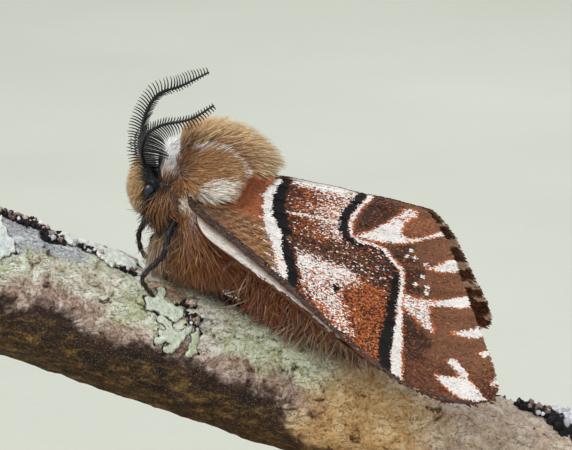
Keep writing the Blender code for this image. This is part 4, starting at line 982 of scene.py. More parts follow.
def layScales(name, shape, side, outside, tintOf, count, size, material):
    # overlapping paddles of five points, each with one colour of the markings
    chance = np.random.default_rng(len(name) * 7 + side + 3)
    u, v, a, b = scatterOnWing(shape, count, chance)
    lie = scaleLie(a, b)
    turn = chance.normal(0, 0.14, len(a))
    lie = np.column_stack([lie[:, 0] * np.cos(turn) - lie[:, 1] * np.sin(turn),
                           lie[:, 0] * np.sin(turn) + lie[:, 1] * np.cos(turn)])
    sideways = np.column_stack([-lie[:, 1], lie[:, 0]])
    length = size[0] * chance.uniform(0.8, 1.25, len(a))
    width = size[1] * chance.uniform(0.8, 1.2, len(a))
    tints = tintOf(a, b, chance) * chance.uniform(0.82, 1.15, (len(a), 1))
    face = 1 if outside else -1
    base = shape["lift"] + face * 0.012 + (veinHeight(shape, u, v) if outside else -wingSettings["thickness"])
    ripple = wingRipple(u, a, b)
    layer = chance.uniform(0, 0.02, len(a))
    corners = ((0, 0, 0.0), (0.42, -0.5, 0.03), (0.42, 0.5, 0.03), (1, -0.3, 0.035), (1, 0.3, 0.035))
    rows = []
    for reach, across, height in corners:
        pa = a + lie[:, 0] * length * reach + sideways[:, 0] * width * across
        pb = b + lie[:, 1] * length * reach + sideways[:, 1] * width * across
        rows.append(wingPoints(pa, pb, base + ripple + face * (height + layer), side))
    points = np.stack(rows, 1).reshape(-1, 3)
    faces = np.array([(0, 1, 2), (1, 3, 4), (1, 4, 2)])
    if face * side < 0:
        faces = faces[:, ::-1]
    triangles = (faces[None] + np.arange(len(a))[:, None, None] * 5).reshape(-1, 3)
    patch = np.array([(reach, across + 0.5) for reach, across, _ in corners]) * patchSize
    patches = (np.column_stack([u, v])[:, None] * patchRoom + patch).reshape(-1, 2)
    piece = joinedMesh(name, points, triangles, np.repeat(tints, 5, axis=0), patches)
    return dress(piece, material, "wing_scales")


def makeWings():
    material = scaleFinish()
    for side, word in sides:
        makeMembrane(foreShape, side, word, foreTint, underTint, material)
        makeMembrane(hindShape, side, word, hindTint, hindUnderTint, material)
        for name, shape, outer, tintAt, key, size in (
                ("forewingScales", foreShape, True, foreTint, "scales", (0.21, 0.1)),
                ("forewingUnder", foreShape, False, underTint, "under scales", (0.34, 0.15)),
                ("hindwingScales", hindShape, True, hindTint, "scales", (0.5, 0.12)),
                ("hindwingUnder", hindShape, False, hindUnderTint, "under scales", (0.4, 0.18))):
            layScales(name + word, shape, side, outer, tintAt, shape[key], size, material)
    print("wings made")


def mirrorRows(side):
    # turns what is said of the side of positive y into the same for each row's side
    return np.column_stack([np.ones(len(side)), side, np.ones(len(side))])


def mirrored(points):
    side = np.where(points[:, 1] < 0, -1.0, 1.0)
    return side, points * mirrorRows(side)


def roofPlaces(points):
    # each point's side, its place a and b, and its height over the roof of the wings
    side, points = mirrored(points)
    ridge, down, outward = wingAxes(1)
    offset = points - wingOrigin
    a, b = offset @ ridge, offset @ down
    return side, a, b, dots(offset, outward) - camber(a, b)


# Hair: tapered three-sided tufts that leave the skin at one angle and bend to another

def clearOfBranch(points, margin=0.12):
    offset = points - branchMiddle
    reach = offset @ branchAlong
    axis = branchMiddle + reach[:, None] * branchAlong
    away = points - axis
    far = np.linalg.norm(away, axis=1)
    least = branchRadius(reach) + margin
    push = np.maximum(least / np.maximum(far, 1e-6), 1)[:, None]
    return np.where((np.abs(reach) < branchSettings["half length"])[:, None], axis + away * push, points)


def clearOfWings(points, over):
    # keeps a hair above the roof of the wings, or below it
    side, a, b, height = roofPlaces(points)
    costa, inner = curvePoints(foreShape["costa"], 100), curvePoints(foreShape["inner"], 100)
    high, low = np.interp(a, costa[:, 0], costa[:, 1]), np.interp(a, inner[:, 0], inner[:, 1])
    within = (a > -6.4) & (a < 19) & (b > low - 0.8) & (b < high + 0.9)
    floor, ceiling = 0.16, np.where(a > -4.8, -1.28, -0.4)
    move = np.where(over, np.maximum(floor - height, 0), np.minimum(ceiling - height, 0))
    return points + wingAxes(1)[2] * mirrorRows(side) * np.where(within, move, 0)[:, None]


tuftShares = (0.0, 0.42, 0.78, 1.0)


def growTufts(name, roots, normals, plan, patches, chance, material, slot, avoid=True):
    # plan holds a row for each tuft: lie, length, width, first and last rise, root and tip tint
    count = len(roots)
    each = np.zeros(count)
    normal = unit(normals)
    lie = plan["lie"] + chance.normal(0, 1, (count, 3)) * (plan.get("stray", 0.12) + each)[:, None]
    flat = unit(lie - normal * dots(lie, normal)[:, None])
    vary = plan.get("vary", 0.22)
    length = plan["length"] * chance.uniform(1 - vary, 1 + vary, count)
    first = plan["first"] * chance.uniform(0.85, 1.15, count)
    last = plan["last"] * chance.uniform(0.8, 1.2, count)
    curl = chance.normal(0, plan.get("curl", 0.12), count)
    aside = np.cross(normal, flat)
    over = roofPlaces(roots)[3] > -0.65
    path = [roots - normal * 0.08]
    point = roots.copy()
    for start, end in zip(tuftShares, tuftShares[1:]):
        share = (start + end) / 2
        angle = first + (last - first) * share
        step = flat * np.cos(angle)[:, None] + normal * np.sin(angle)[:, None]
        step = step + aside * (curl * share)[:, None]
        point = point + step * (length * (end - start))[:, None]
        if avoid:
            point = clearOfBranch(clearOfWings(point, over))
        path.append(point)
    path = np.stack(path, 1)
    ahead = np.gradient(path, axis=1)
    ahead /= np.maximum(np.linalg.norm(ahead, axis=2), 1e-9)[:, :, None]
    across = np.cross(ahead, normal[:, None])
    across /= np.maximum(np.linalg.norm(across, axis=2), 1e-9)[:, :, None]
    top = np.cross(across, ahead)
    widths = (plan["width"] + each)[:, None] * np.array([0.8, 1.0, 0.62])
    depths = widths * 0.42
    body = path[:, :3]
    left = body - across[:, :3] * widths[:, :, None] / 2
    right = body + across[:, :3] * widths[:, :, None] / 2
    ridge = body + top[:, :3] * depths[:, :, None]
    points = np.concatenate([left, right, ridge, path[:, 3:]], axis=1)  # 3 left, 3 right, 3 ridge, the tip
    faces = []
    for i in (0, 1):
        for near, far in ((0, 6), (6, 3), (3, 0)):
            faces += [(near + i, near + i + 1, far + i + 1), (near + i, far + i + 1, far + i)]
    faces = np.array(faces + [(2, 9, 8), (8, 9, 5), (5, 9, 2)])
    triangles = (faces[None] + np.arange(count)[:, None, None] * 10).reshape(-1, 3)
    shares = np.array([0, 0.45, 0.8] * 3 + [1.0])
    shade = chance.uniform(0.78, 1.2, (count, 1))
    blend = shares[None, :, None]
    tints = (plan["root"] * shade)[:, None] * (1 - blend) + (plan["tip"] * shade)[:, None] * blend
    spots = np.column_stack([shares, [0] * 3 + [1] * 3 + [0.5] * 4]) * patchSize
    uv = (patches[:, None] + spots).reshape(-1, 2)
    piece = joinedMesh(name, points.reshape(-1, 3), triangles, tints.reshape(-1, 3), uv)
    return dress(piece, material, slot)


# The body: one skin under all the hair

def turned(degrees, axis="Y"):
    return np.array(Matrix.Rotation(math.radians(degrees), 3, axis))


bodySettings = {
    "pitch": 25.0,
    "thorax": ((-5.7, 0, 34.9), (3.95, 3.15, 3.35)),
    "neck": ((-8.9, 0, 35.8), (1.0, 2.15, 2.35)),
    "head": ((-10.35, 0, 35.5), (0.95, 1.35, 1.4)),
    "tegula": ((-6.0, 3.05, 37.1), (2.35, 0.3, 1.65)), "tegula tilt": 35.0,
    "spine": ((-2.4, 0, 31.7), (0.2, 0, 29.1), (2.6, 0, 27.1), (4.8, 0, 25.5), (6.6, 0, 24.4)),
    "girths": (1.8, 2.45, 2.25, 1.6, 0.8),
    "voxel": 0.16,
}


def bodyParts():
    # name, centre, radii and turn of each lump that the skin is made from
    set_ = bodySettings
    pitch = turned(set_["pitch"])
    parts = [("thorax", *set_["thorax"], pitch), ("collar", *set_["neck"], turned(0)),
             ("head", *set_["head"], turned(0))]
    for side in (-1, 1):
        centre, radii = set_["tegula"]
        turn = turned(side * set_["tegula tilt"], "X") @ pitch
        parts.append(("tegula", (centre[0], centre[1] * side, centre[2]), radii, turn))
    spine = curvePoints(set_["spine"], 9)
    for i, centre in enumerate(spine):
        girth = along(set_["girths"], i / 8)
        parts.append(("abdomen", tuple(centre), (girth,) * 3, turned(0)))
    return parts


def makeSkin(material):
    deselect()
    made = []
    for _, centre, radii, turn in bodyParts():
        bpy.ops.mesh.primitive_uv_sphere_add(segments=32, ring_count=20, radius=1)
        ball = bpy.context.object
        rows = (readPoints(ball) * mm) * np.array(radii)
        writePoints(ball, rows @ np.array(turn).T + np.array(centre))
        made.append(ball)
    deselect()
    for ball in made:
        ball.select_set(True)
    bpy.context.view_layer.objects.active = made[0]
    bpy.ops.object.join()
    skin = takeMesh("skin")
    shrink = skin.modifiers.new("one skin", "REMESH")
    shrink.mode = "VOXEL"
    shrink.voxel_size = bodySettings["voxel"] * mm
    soft = skin.modifiers.new("soft joins", "SMOOTH")
    soft.factor, soft.iterations = 0.5, 8
    applyAll(skin)
    onWhole(bpy.ops.uv.smart_project, angle_limit=math.radians(66), island_margin=0.004)
    skin.data.uv_layers.active.name = "OFBake"
    bpy.ops.object.shade_smooth()
    dress(skin, material, "brown_fur", "thorax", "head", "collar", "tegula_left", "tegula_right", "abdomen")
    print("skin made:", len(skin.data.vertices), "points")
    return skin


def skinArrays(skin):
    # the skin's triangles: corners, their normals and their unwrap
    mesh = skin.data
    mesh.calc_loop_triangles()
    loops = readRows(mesh.loop_triangles, "loops", 3, np.int32)
    corners = readRows(mesh.loop_triangles, "vertices", 3, np.int32)
    normals = readRows(mesh.vertices, "normal", 3)
    uv = readRows(mesh.uv_layers["OFBake"].data, "uv", 2)
    return readPoints(skin)[corners], normals[corners], uv[loops]


def partOf(points):
    # which part of the body each point belongs to
    names, nearest = [], []
    for name, centre, radii, turn in bodyParts():
        local = (points - np.array(centre)) @ np.array(turn)
        value = np.linalg.norm(local / np.array(radii), axis=1)
        names.append(name)
        nearest.append((value - 1) * min(radii))
    return np.array(names)[np.argmin(np.array(nearest), axis=0)]


def scatterOnSkin(arrays, part, count, chance):
    points = arrays[0]
    area = np.linalg.norm(np.cross(points[:, 1] - points[:, 0], points[:, 2] - points[:, 0]), axis=1)
    area = area * (partOf(points.mean(1)) == part)
    pick = chance.choice(len(area), count, p=area / area.sum())
    weights = chance.dirichlet((1, 1, 1), count)[:, :, None]
    places, normals, patches = [(rows[pick] * weights).sum(1) for rows in arrays]
    return places, unit(normals), patches


furColours = {name: linear(*colour) for name, colour in {
    "tan tip": (232, 200, 154), "tan": (204, 160, 110), "gold": (172, 116, 62),
    "brown": (112, 72, 42), "dark": (62, 38, 24), "rust": (184, 94, 44),
    "rust root": (112, 50, 24), "cream": (246, 238, 226), "pale tan": (244, 220, 182),
    "white": (252, 250, 248),
    "pink": (246, 230, 224), "red": (146, 72, 34), "deep red": (70, 30, 17),
    "grey tan": (196, 172, 142), "black": (18, 14, 14),
}.items()}
coatSettings = {
    "counts": {"thorax": 30500, "tegula": 10500, "collar": 4800, "head": 6800, "abdomen": 11500,
               "wing base": 5000},
    "thorax lengths": (4.1, 2.9, 2.9), "thorax first": (75, 45, 72), "thorax last": (55, 8, 20),
    "pad patch": ((-7.5, 35.35), (-7.1, 35.5), (-6.2, 35.8), (-5.4, 36.05), (-4.1, 36.2), (-3.7, 36.0),
                  (-4.0, 35.6), (-4.5, 35.1), (-5.2, 35.1), (-6.2, 34.8), (-7.2, 34.5), (-7.6, 34.7)),
    "cream patch": ((-8.7, 34.7), (-8.5, 35.4), (-8.2, 35.8), (-7.4, 35.8), (-6.5, 35.3), (-6.8, 34.7),
                    (-7.7, 34.5)),
    "pad foot": ((33.9, -8.4), (34.5, -7.6), (34.8, -6.8), (35.3, -5.5), (36.0, -4.9), (36.9, -4.4),
                 (37.3, -3.6)),
    "pad fan": (-9.1, 2.9, 37.35), "tegula length": 1.5, "collar length": 1.5, "head length": 1.1,
    "abdomen length": 1.9, "flank length": 3.7, "belly length": 2.75,
}


class Coat:
    # the tufts' colours at root and tip, laid over each other by name or as rows
    def __init__(self, count, chance, root="brown", tip="gold"):
        self.count = count
        self.chance = chance
        self.root = np.tile(furColours[root], (count, 1))
        self.tip = np.tile(furColours[tip], (count, 1))

    def rows(self, colour):
        return furColours[colour] if isinstance(colour, str) else colour

    def mixed(self, first, second, share):
        # each tuft takes the second colour or the first, as its own chance falls
        taken = (self.chance.random(self.count) < share)[:, None]
        return np.where(taken, self.rows(second), self.rows(first))

    def lay(self, share, tip=None, root=None):
        if tip is not None:
            self.tip = blendRows(self.tip, self.rows(tip), share)
        if root is not None:
            self.root = blendRows(self.root, self.rows(root), share)

    def plan(self, lie, length, width, first, last, **rest):
        # how the tufts lie, and how far they rise from the skin at their start and their end
        return {"lie": lie, "length": length, "width": width, "first": first, "last": last,
                "root": self.root, "tip": self.tip, **rest}


def padPlaces(points):
    # each point's place along and across the shoulder pad of its side
    centre, radii = bodySettings["tegula"]
    turn = turned(bodySettings["tegula tilt"], "X") @ turned(bodySettings["pitch"])
    local = (mirrored(points)[1] - np.array(centre)) @ turn
    return local[:, 0] / radii[0], local[:, 2] / radii[2]


def thoraxPlan(points, normals, chance):
    set_ = coatSettings
    x, y, z = points.T
    out = np.abs(y)
    height = np.clip(0.5 + 0.7 * normals[:, 2], 0, 1)
    lie = np.column_stack([along((0.3, 0.6, 1), height), 0 * x, along((-1, -0.8, -0.25), height)])
    ahead = smooth(x, -7.2, -8.6) * smooth(z, 38.0, 37.0)
    lie = blendRows(lie, (-0.15, 0.0, -1.0), ahead)
    lie = blendRows(lie, (0.3, 0.0, -1.0), smooth(z, 35.2, 33.8) * smooth(x, -7.8, -8.8))
    length, first, last = [along(set_["thorax " + key], height) for key in ("lengths", "first", "last")]
    # the tan mound of the back, paler at its rear
    coat = Coat(len(x), chance)
    coat.lay(smooth(z, 36.6, 38.0), tip="tan tip")
    coat.lay(smooth(z, 36.5, 38.2), root="gold")
    rump = smooth(x, -4.8, -2.8) * smooth(z, 35.8, 36.8)
    coat.lay(rump * 0.8, tip="pale tan")
    coat.lay(rump * 0.7, root="tan")
    # rust behind the pads, under the mound
    sideRise = 0.8 * smooth(out, 0.6, 1.4)
    rear = smooth(x, -5.0, -3.6) * smooth(z, 36.5 + sideRise, 35.5 + sideRise) * smooth(z, 33.0, 34.4)
    coat.lay(rear, tip="rust", root="rust root")
    # golden brown before the pads, red brown below
    front = smooth(x, -6.8, -7.8) * smooth(z, 38.4, 37.4)
    coat.lay(front, tip=coat.mixed("gold", "brown", 0.3), root="dark")
    low = smooth(z, 35.2, 33.6)
    belly = coat.mixed("red", "gold", 0.3 + 0.4 * smooth(x, -5, -8))
    belly = coat.mixed(belly, "tan", 0.1 + 0.25 * smooth(x, -7.5, -9))
    coat.lay(low, tip=belly, root=coat.mixed("deep red", "dark", 0.4))
    breast = smooth(x, -8.0, -8.7) * smooth(z, 34.6, 33.9)
    coat.lay(breast * 0.9, tip="grey tan")
    # a pink streak and a shadow before the pads
    streak = np.exp(-((x + 7.3 - 0.2 * (z - 34.5)) / 0.17) ** 2)
    streak = streak * smooth(z, 36.2, 35.6) * smooth(z, 33.2, 34.0) * smooth(out, 2.0, 2.6)
    coat.lay(streak * 0.85, tip="pink")
    shadow = smooth(x, -7.0, -7.6) * smooth(z, 36.8, 37.3) * smooth(out, 0.6, 1.2)
    coat.lay(shadow * 0.8, tip="black")
    coat.lay(shadow, root="black")
    # short under and just round the pads, with dark roots round them as painted shade at the pads' rim,
    # shorter where the wings begin, shaggy below
    reach, across = padPlaces(points)
    around = np.hypot(reach, across)
    pad = smooth(around, 2.0, 1.55) * smooth(out, 0.7, 1.4)
    # rust tips just round the pads' rear edge, and dark roots there as painted shade under the pads' rim
    ring = pad * smooth(reach + across, -0.6, 0.2) * smooth(around, 1.8, 1.5)
    coat.lay(ring * 0.7, tip="rust")
    coat.lay(ring * 0.5, root="dark")
    before = smooth(patchDepth(set_["cream patch"], x, z), -0.1, 0.15) * smooth(out, 1.6, 2.2)
    coat.lay(before, tip="cream", root="tan")
    lie = blendRows(lie, (1.0, 0.0, -0.15), before)
    aside = smooth(x, -4.8, -3.0) * smooth(out, 0.5, 1.5)
    length = length * (1 - 0.7 * pad) * (1 - 0.5 * shadow) * (1 + 0.25 * breast) * (1 - 0.5 * aside)
    length = length * (1 - 0.5 * smooth(x, -3.7, -2.4) * smooth(z, 37.3, 36.4))
    shaggy = low * (1 - pad) * smooth(x, -8.6, -7.4)
    first, last = first + (64 - first) * shaggy * 0.8, last + (44 - last) * shaggy * 0.8
    length = length + (set_["belly length"] - length) * shaggy * 0.85
    length = length * (1 + 0.4 * smooth(np.abs(x + 5.9), 2.8, 1.6) * smooth(z, 33.4, 32.4))
    first = first * (1 - 0.5 * pad) * (1 - 0.45 * ahead * (1 - breast))
    return coat.plan(lie, length, 0.14 - 0.03 * low, np.radians(first), np.radians(last),
                     curl=0.16 + 0.3 * shaggy, stray=0.14 + 0.32 * shaggy)


def tegulaPlan(points, _, chance):
    # the pads: golden hair that fans back to white tips, a cream edge below
    set_ = coatSettings
    x, y, z = points.T
    lie = unit(points - np.array(set_["pad fan"]) * mirrorRows(np.sign(y)))
    reach, across = padPlaces(points)
    around = np.hypot(reach, across) + chance.normal(0, 0.05, len(x))
    hair = set_["tegula length"] * lie

    def inPatch(share):
        # whether the hair's place at a share of its length comes to lie in the cream patch
        depth = patchDepth(set_["pad patch"], x + share * hair[:, 0], z + share * hair[:, 2])
        return smooth(depth, -0.12, 0.12)

    low, inside = inPatch(0.8), inPatch(0.3)
    below = smooth(z - edgeAt(set_["pad foot"], x), 0.1, -0.15)
    lie = blendRows(lie, (1, 0, 0.2), 0.75 * low)
    edge = smooth(around, 0.81, 0.91) * smooth(across + 0.5 * reach, -0.1, 0.2)
    edge = edge * (chance.random(len(x)) < 0.75) * (1 - below)
    coat = Coat(len(x), chance)
    coat.root = coat.mixed("brown", "gold", 0.5)
    coat.tip = coat.mixed("gold", "tan", 0.3 + 0.55 * smooth(reach, -0.5, 0.7))
    front = smooth(reach, -0.5, -0.85)
    coat.lay(front * 0.6, tip="brown")
    coat.lay(front * 0.8, root="dark")
    coat.lay(edge * 0.7, root="brown")
    coat.lay(edge, tip="white")
    coat.lay(low, tip="cream")
    coat.lay(inside * 0.9, root="cream")
    coat.lay(below, tip=coat.mixed("rust", "dark", 0.2), root="rust root")
    length = set_["tegula length"] * (1 - 0.3 * front) * (1 + 0.1 * low) * (1 - 0.5 * below)
    return coat.plan(lie, length, 0.1 + 0.02 * edge, np.radians(30 + 10 * edge), np.radians(4 + 10 * edge),
                     stray=0.11)


def collarPlan(points, _, chance):
    # the white lens behind the antennae, pinkish at its foot, golden fur below it
    x, y, z = points.T
    rows = mirrorRows(np.sign(y))
    low = smooth(z, 35.98, 35.88)
    lie = blendRows((0.42, 0.12, 0.9) * rows, (-0.1, 0.2, -1) * rows, low)
    coat = Coat(len(x), chance, "pink", "pink")
    coat.lay(smooth(z, 35.9, 36.9), tip="white")
    coat.lay(smooth(z, 36.2, 37.2), root="white")
    shade = smooth(z, 36.16, 36.04)
    coat.lay(shade, tip=coat.mixed("gold", "brown", 0.45), root="dark")
    coat.lay(smooth(x, -9.35, -9.6) * smooth(z, 37.3, 36.7), tip="black", root="black")
    throat = low * smooth(x, -8.8, -9.4)
    lie[:, 0] -= 0.3 * throat
    length = coatSettings["collar length"] * (1 - 0.2 * shade) + 0.5 * low + 0.9 * throat
    return coat.plan(lie, length, 0.11 - 0.02 * low, np.radians(24 + 26 * low), math.radians(8),
                     stray=0.06 + 0.34 * low - 0.18 * throat, curl=0.06 + 0.3 * low)


def headPlan(points, normals, chance):
    # a tan ball of hair on the face, black beside the eyes and at the crown
    x, y, z = points.T
    face = smooth(x, -10.4, -10.8)
    lie = blendRows((-0.8, 0.0, 0.6), (-0.5, 0.0, -0.9), face)
    lie[:, 1] += 0.3 * normals[:, 1]
    black = np.clip(smooth(np.abs(y), 0.75, 1.05) * (1 - face) + smooth(x, -10.55, -10.1), 0, 1)
    coat = Coat(len(x), chance, "gold")
    coat.tip = coat.mixed("tan tip", "tan", 0.35)
    coat.lay(black, tip="black", root="black")
    eyeX, _, eyeZ = headSettings["eye"]
    eye = (np.hypot(x - eyeX, z - eyeZ) < 0.5) & (np.abs(y) > 0.75)
    crown = smooth(z, 36.0, 36.6) * (1 - face)
    length = coatSettings["head length"] * (0.5 + 0.6 * face + 0.8 * crown) * np.where(eye, 0.12, 1)
    return coat.plan(lie, length, 0.085, np.radians(50 + 25 * crown), math.radians(26), stray=0.16)


def abdomenPlan(points, normals, chance):
    # shaggy red and grey hair that hangs at the flanks
    x, y, _ = points.T
    hanging = smooth(np.abs(normals[:, 1]), 0.25, 0.6) * smooth(normals[:, 2], 0.9, 0.5)
    lie = blendRows((0.85, 0.0, -0.5), (0.1, 0.6, -1) * mirrorRows(np.sign(y)), hanging)
    short, long = coatSettings["abdomen length"], coatSettings["flank length"]
    length = short + (long - short) * hanging * smooth(x, -5, -3) * smooth(x, 8, 6)
    fore = smooth(x, -1.4, -2.6)
    length = length + 1.6 * fore * (1 - hanging)
    lie = blendRows(lie, (-0.1, 0.0, -1.0), fore * (1 - hanging))
    coat = Coat(len(x), chance)
    coat.tip = coat.mixed("red", "grey tan", 0.12 + 0.6 * smooth(x, 0, 2.5))
    coat.tip = coat.mixed(coat.tip, "gold", 0.12 + 0.3 * smooth(x, 1, -3))
    coat.lay(0.35 * chance.random(len(x)) * smooth(x, 2.5, 0), tip="rust")
    coat.root = coat.mixed("deep red", "dark", 0.35)
    return coat.plan(lie, length, 0.13, math.radians(36), math.radians(8), curl=0.42, vary=0.4, stray=0.42)


def makeBody():
    fur = furFinish()
    skin = makeSkin(fur)
    points = readPoints(skin)
    normals = readRows(skin.data.vertices, "normal", 3)
    arrays = skinArrays(skin)
    chance = np.random.default_rng(11)
    plans = {"thorax": (thoraxPlan, "tan_fur"), "tegula": (tegulaPlan, "brown_fur"),
             "collar": (collarPlan, "white_fur"), "head": (headPlan, "tan_fur"),
             "abdomen": (abdomenPlan, "brown_fur")}
    parts = partOf(points)
    shades = np.empty((len(points), 3))
    for part, (planOf, _) in plans.items():
        here = parts == part
        shades[here] = planOf(points[here], normals[here], chance)["root"] * 0.8
    writeTint(skin, shades)
    for part, (planOf, slot) in plans.items():
        roots, out, patches = scatterOnSkin(arrays, part, coatSettings["counts"][part], chance)
        plan = planOf(roots, out, chance)
        shares = 3 if part == "thorax" else 1
        for k in range(shares):
            # a share of the tufts: every third one on the thorax
            pick = np.arange(len(roots)) % shares == k
            some = {key: value[pick] if isinstance(value, np.ndarray) else value
                    for key, value in plan.items()}
            growTufts(part + "Fur" + "ABC"[k], roots[pick], out[pick], some, patches[pick], chance, fur, slot)
    print("fur grown")
    return fur


def makeWingBase(fur):
    # long hair over the wings' roots, rust above and striped brown below
    for side, word in sides:
        chance = np.random.default_rng(23 + side)
        u, v, a, b = scatterOnWing(foreShape, 60000, chance)
        margin = 0.15 + 0.35 * smooth(b, 5.0, 6.0)
        keep = (a < edgeAt(markings["white inner"], b) - margin) & (costaDepth(foreShape, a, b) > 0.5)
        pick = np.nonzero(keep)[0][: coatSettings["counts"]["wing base"]]
        u, v, a, b = u[pick], v[pick], a[pick], b[pick]
        ridge, down, outward = wingAxes(side)
        roots = wingPoints(a, b, np.full(len(a), foreShape["lift"]), side)
        lie = scaleLie(a, b)
        lie = lie[:, :1] * ridge + lie[:, 1:] * down
        streak = 0.5 + 0.5 * np.sin(a * 6 + b * 9 + np.sin(b * 3))
        lower = smooth(b - 5.8 - 0.3 * a, -0.5, 0.5)
        beside = smooth(a, -3.4, -4.6)
        fade = smooth(edgeAt(markings["white inner"], b) - a, 0.9, 0.3)
        coat = Coat(len(a), chance, "rust root")
        golden = coat.mixed("gold", "tan", 0.3)
        coat.tip = coat.mixed("rust", "brown", 0.28 + 0.4 * beside)
        coat.tip = coat.mixed(coat.tip, "gold", 0.16)
        coat.lay(lower, tip=golden, root="dark")
        coat.lay(np.maximum(lower * (streak > 0.62), beside * 0.6) * 0.85, tip="dark")
        coat.tip = coat.mixed(coat.tip, "white", 0.6 * lower * smooth(fade, 0.1, 0.8))
        plan = coat.plan(lie, 1.0 - 0.45 * fade, 0.11, math.radians(16), math.radians(3), stray=0.1)
        growTufts("wingBaseFur" + word, roots, np.tile(outward, (len(a), 1)), plan,
                  np.column_stack([u, v]) * patchRoom, chance, fur, "brown_fur", avoid=False)
    print("wing bases made")


# Eyes, antennae and legs

headSettings = {
    "eye": (-10.45, 1.44, 35.45), "eye radii": (0.5, 0.36, 0.54),
    "routes": {
        "Left": ((-10.45, -0.4, 36.3), (-10.7, -1.1, 37.1), (-11.0, -2.6, 38.7), (-10.5, -4.6, 40.4),
                 (-9.3, -5.6, 41.3), (-7.1, -6.2, 41.9), (-5.4, -6.1, 42.9)),
        "Right": ((-10.45, 0.4, 36.3), (-10.7, 1.1, 37.2), (-11.2, 2.9, 38.7), (-10.9, 4.6, 40.3),
                  (-10.0, 5.8, 41.6), (-8.2, 6.3, 42.2), (-6.0, 6.2, 43.3)),
    },
    "heart": (-7.5, 0.0, 38.5), "sense": {"Left": 1, "Right": -1},
    # the two rows of barbs of each antenna: turn from the inner side, then lengths from root to tip
    "rows": {
        "Left": (((0, 0), (1.5, 2.0, 2.1, 1.9, 1.4, 1.05, 0.75, 0.4)),
                 ((165, 118), (1.3, 1.5, 1.4, 1.0, 0.85, 0.75, 0.6, 0.35))),
        "Right": (((66, 66), (0.9, 1.3, 1.4, 1.2, 1.0, 0.8, 0.6, 0.3)),
                  ((168, 168), (0.8, 1.1, 1.2, 1.2, 1.2, 1.2, 1.05, 0.5))),
    },
    "slants": {"Left": (-0.5, -0.35, 0.0, 0.3, 0.45, 0.5, 0.5, 0.5),
               "Right": (0.45, 0.45, 0.45, 0.5, 0.5, 0.5)},
    "barbs": 46, "barb start": 0.09, "curl": -0.3, "shaft": (0.16, 0.14, 0.13, 0.11, 0.07),
    "barb radius": 0.056,
}


def makeEyes():
    material = eyeFinish()
    for side, word in sides:
        deselect()
        bpy.ops.mesh.primitive_uv_sphere_add(segments=40, ring_count=24, radius=1)
        ball = takeMesh("eyeDome_" + word.lower())
        x, y, z = headSettings["eye"]
        rows = readPoints(ball) * mm
        rows[:, 1] *= np.where(rows[:, 1] * side > 0, 1.0, 0.7)  # flatter towards the head
        writePoints(ball, rows * np.array(headSettings["eye radii"]) + np.array((x, y * side, z)))
        bpy.ops.object.shade_smooth()
        dress(ball, material, "black_cuticle", "eye_" + word.lower())
    print("eyes made")


def rotated(vector, axis, turn):
    # vectors turned about their axes
    return (vector * np.cos(turn) + np.cross(axis, vector) * np.sin(turn)
            + axis * dots(axis, vector)[:, None] * (1 - np.cos(turn)))


def makeAntennae(material):
    set_ = headSettings
    chance = np.random.default_rng(31)
    for word, route in set_["routes"].items():
        shaft = curvePoints(route, 60)
        radii = along(set_["shaft"], np.linspace(0, 1, 60)) * (1 + 0.12 * np.cos(np.arange(60) * math.pi))
        parts = [makeTube(shaft[None], radii[None], 8)]
        start, barbs = set_["barb start"], set_["barbs"]
        shares = start + (1 - start) * (np.arange(barbs) + 0.5) / barbs
        roots = np.column_stack([along(shaft[:, k], shares) for k in range(3)])
        tangents = np.column_stack([along(headings(shaft)[:, k], shares) for k in range(3)])
        inner = np.array(set_["heart"]) - roots
        inner[:, 1] = 0
        inner = unit(inner - tangents * dots(inner, tangents)[:, None])
        slants = along(set_["slants"][word], shares)
        for ends, lengths in set_["rows"][word]:
            lengths = along(lengths, shares) * chance.uniform(0.94, 1.06, len(shares))
            angles = np.radians(along(ends, np.minimum(shares * 1.8, 1))) * set_["sense"][word]
            out = rotated(inner, tangents, angles[:, None])
            out = unit(out + tangents * slants[:, None] + chance.normal(0, 0.02, out.shape))
            steps = np.linspace(0, 1, 6)[None, :, None]
            paths = roots[:, None] + out[:, None] * (lengths[:, None, None] * steps)
            paths = paths + tangents[:, None] * (set_["curl"] * lengths[:, None, None] * steps**2.2)
            thin = set_["barb radius"] * np.array([1.25, 1.1, 1, 0.9, 0.75, 0.35])
            parts.append(makeTube(paths, thin, 4))
        piece = joinedMesh("antenna" + word, *joinParts(parts))
        dress(piece, material, "black_cuticle", "antenna_" + word.lower())
    print("antennae made")


legSettings = {
    "routes": {
        "foreleg_left": (((-7.9, -1.6, 34.0), (-8.9, -3.1, 32.6), (-9.25, -3.8, 31.0), (-11.1, -4.2, 29.1)),
                         ((-10.1, 43.0),)),
        "foreleg_right": (((-8.0, 1.5, 34.0), (-10.2, 2.4, 33.4), (-11.5, 2.9, 31.2), (-11.3, 2.6, 29.8)),
                          ((-10.0, -19.0),)),
        "midleg_left": (((-5.4, -1.3, 32.4), (-6.0, -3.1, 30.9), (-5.6, -2.4, 28.9)),
                        ((-4.7, 18.0), (-3.1, 12.0))),
        "midleg_right": (((-6.2, 1.6, 32.6), (-8.6, 3.6, 31.6), (-10.5, 4.1, 30.6)),
                         ((-10.4, -40.0), (-9.0, -46.0))),
        "hindleg_left": (((-3.6, -1.3, 31.6), (-3.2, -3.3, 30.0), (-2.0, -3.2, 27.9)),
                         ((-0.6, 27.0), (1.6, 24.0))),
        "hindleg_right": (((-3.6, 1.3, 31.6), (-3.2, 3.3, 30.0), (-2.0, 3.2, 27.9)),
                          ((-0.6, -27.0), (1.6, -24.0))),
    },
    "radii": (0.33, 0.3, 0.25, 0.22, 0.2, 0.18, 0.165, 0.15), "stations": 70, "bristles": 170,
    "claw": 0.5, "claw radii": (0.08, 0.07, 0.06, 0.05, 0.035, 0.01),
}


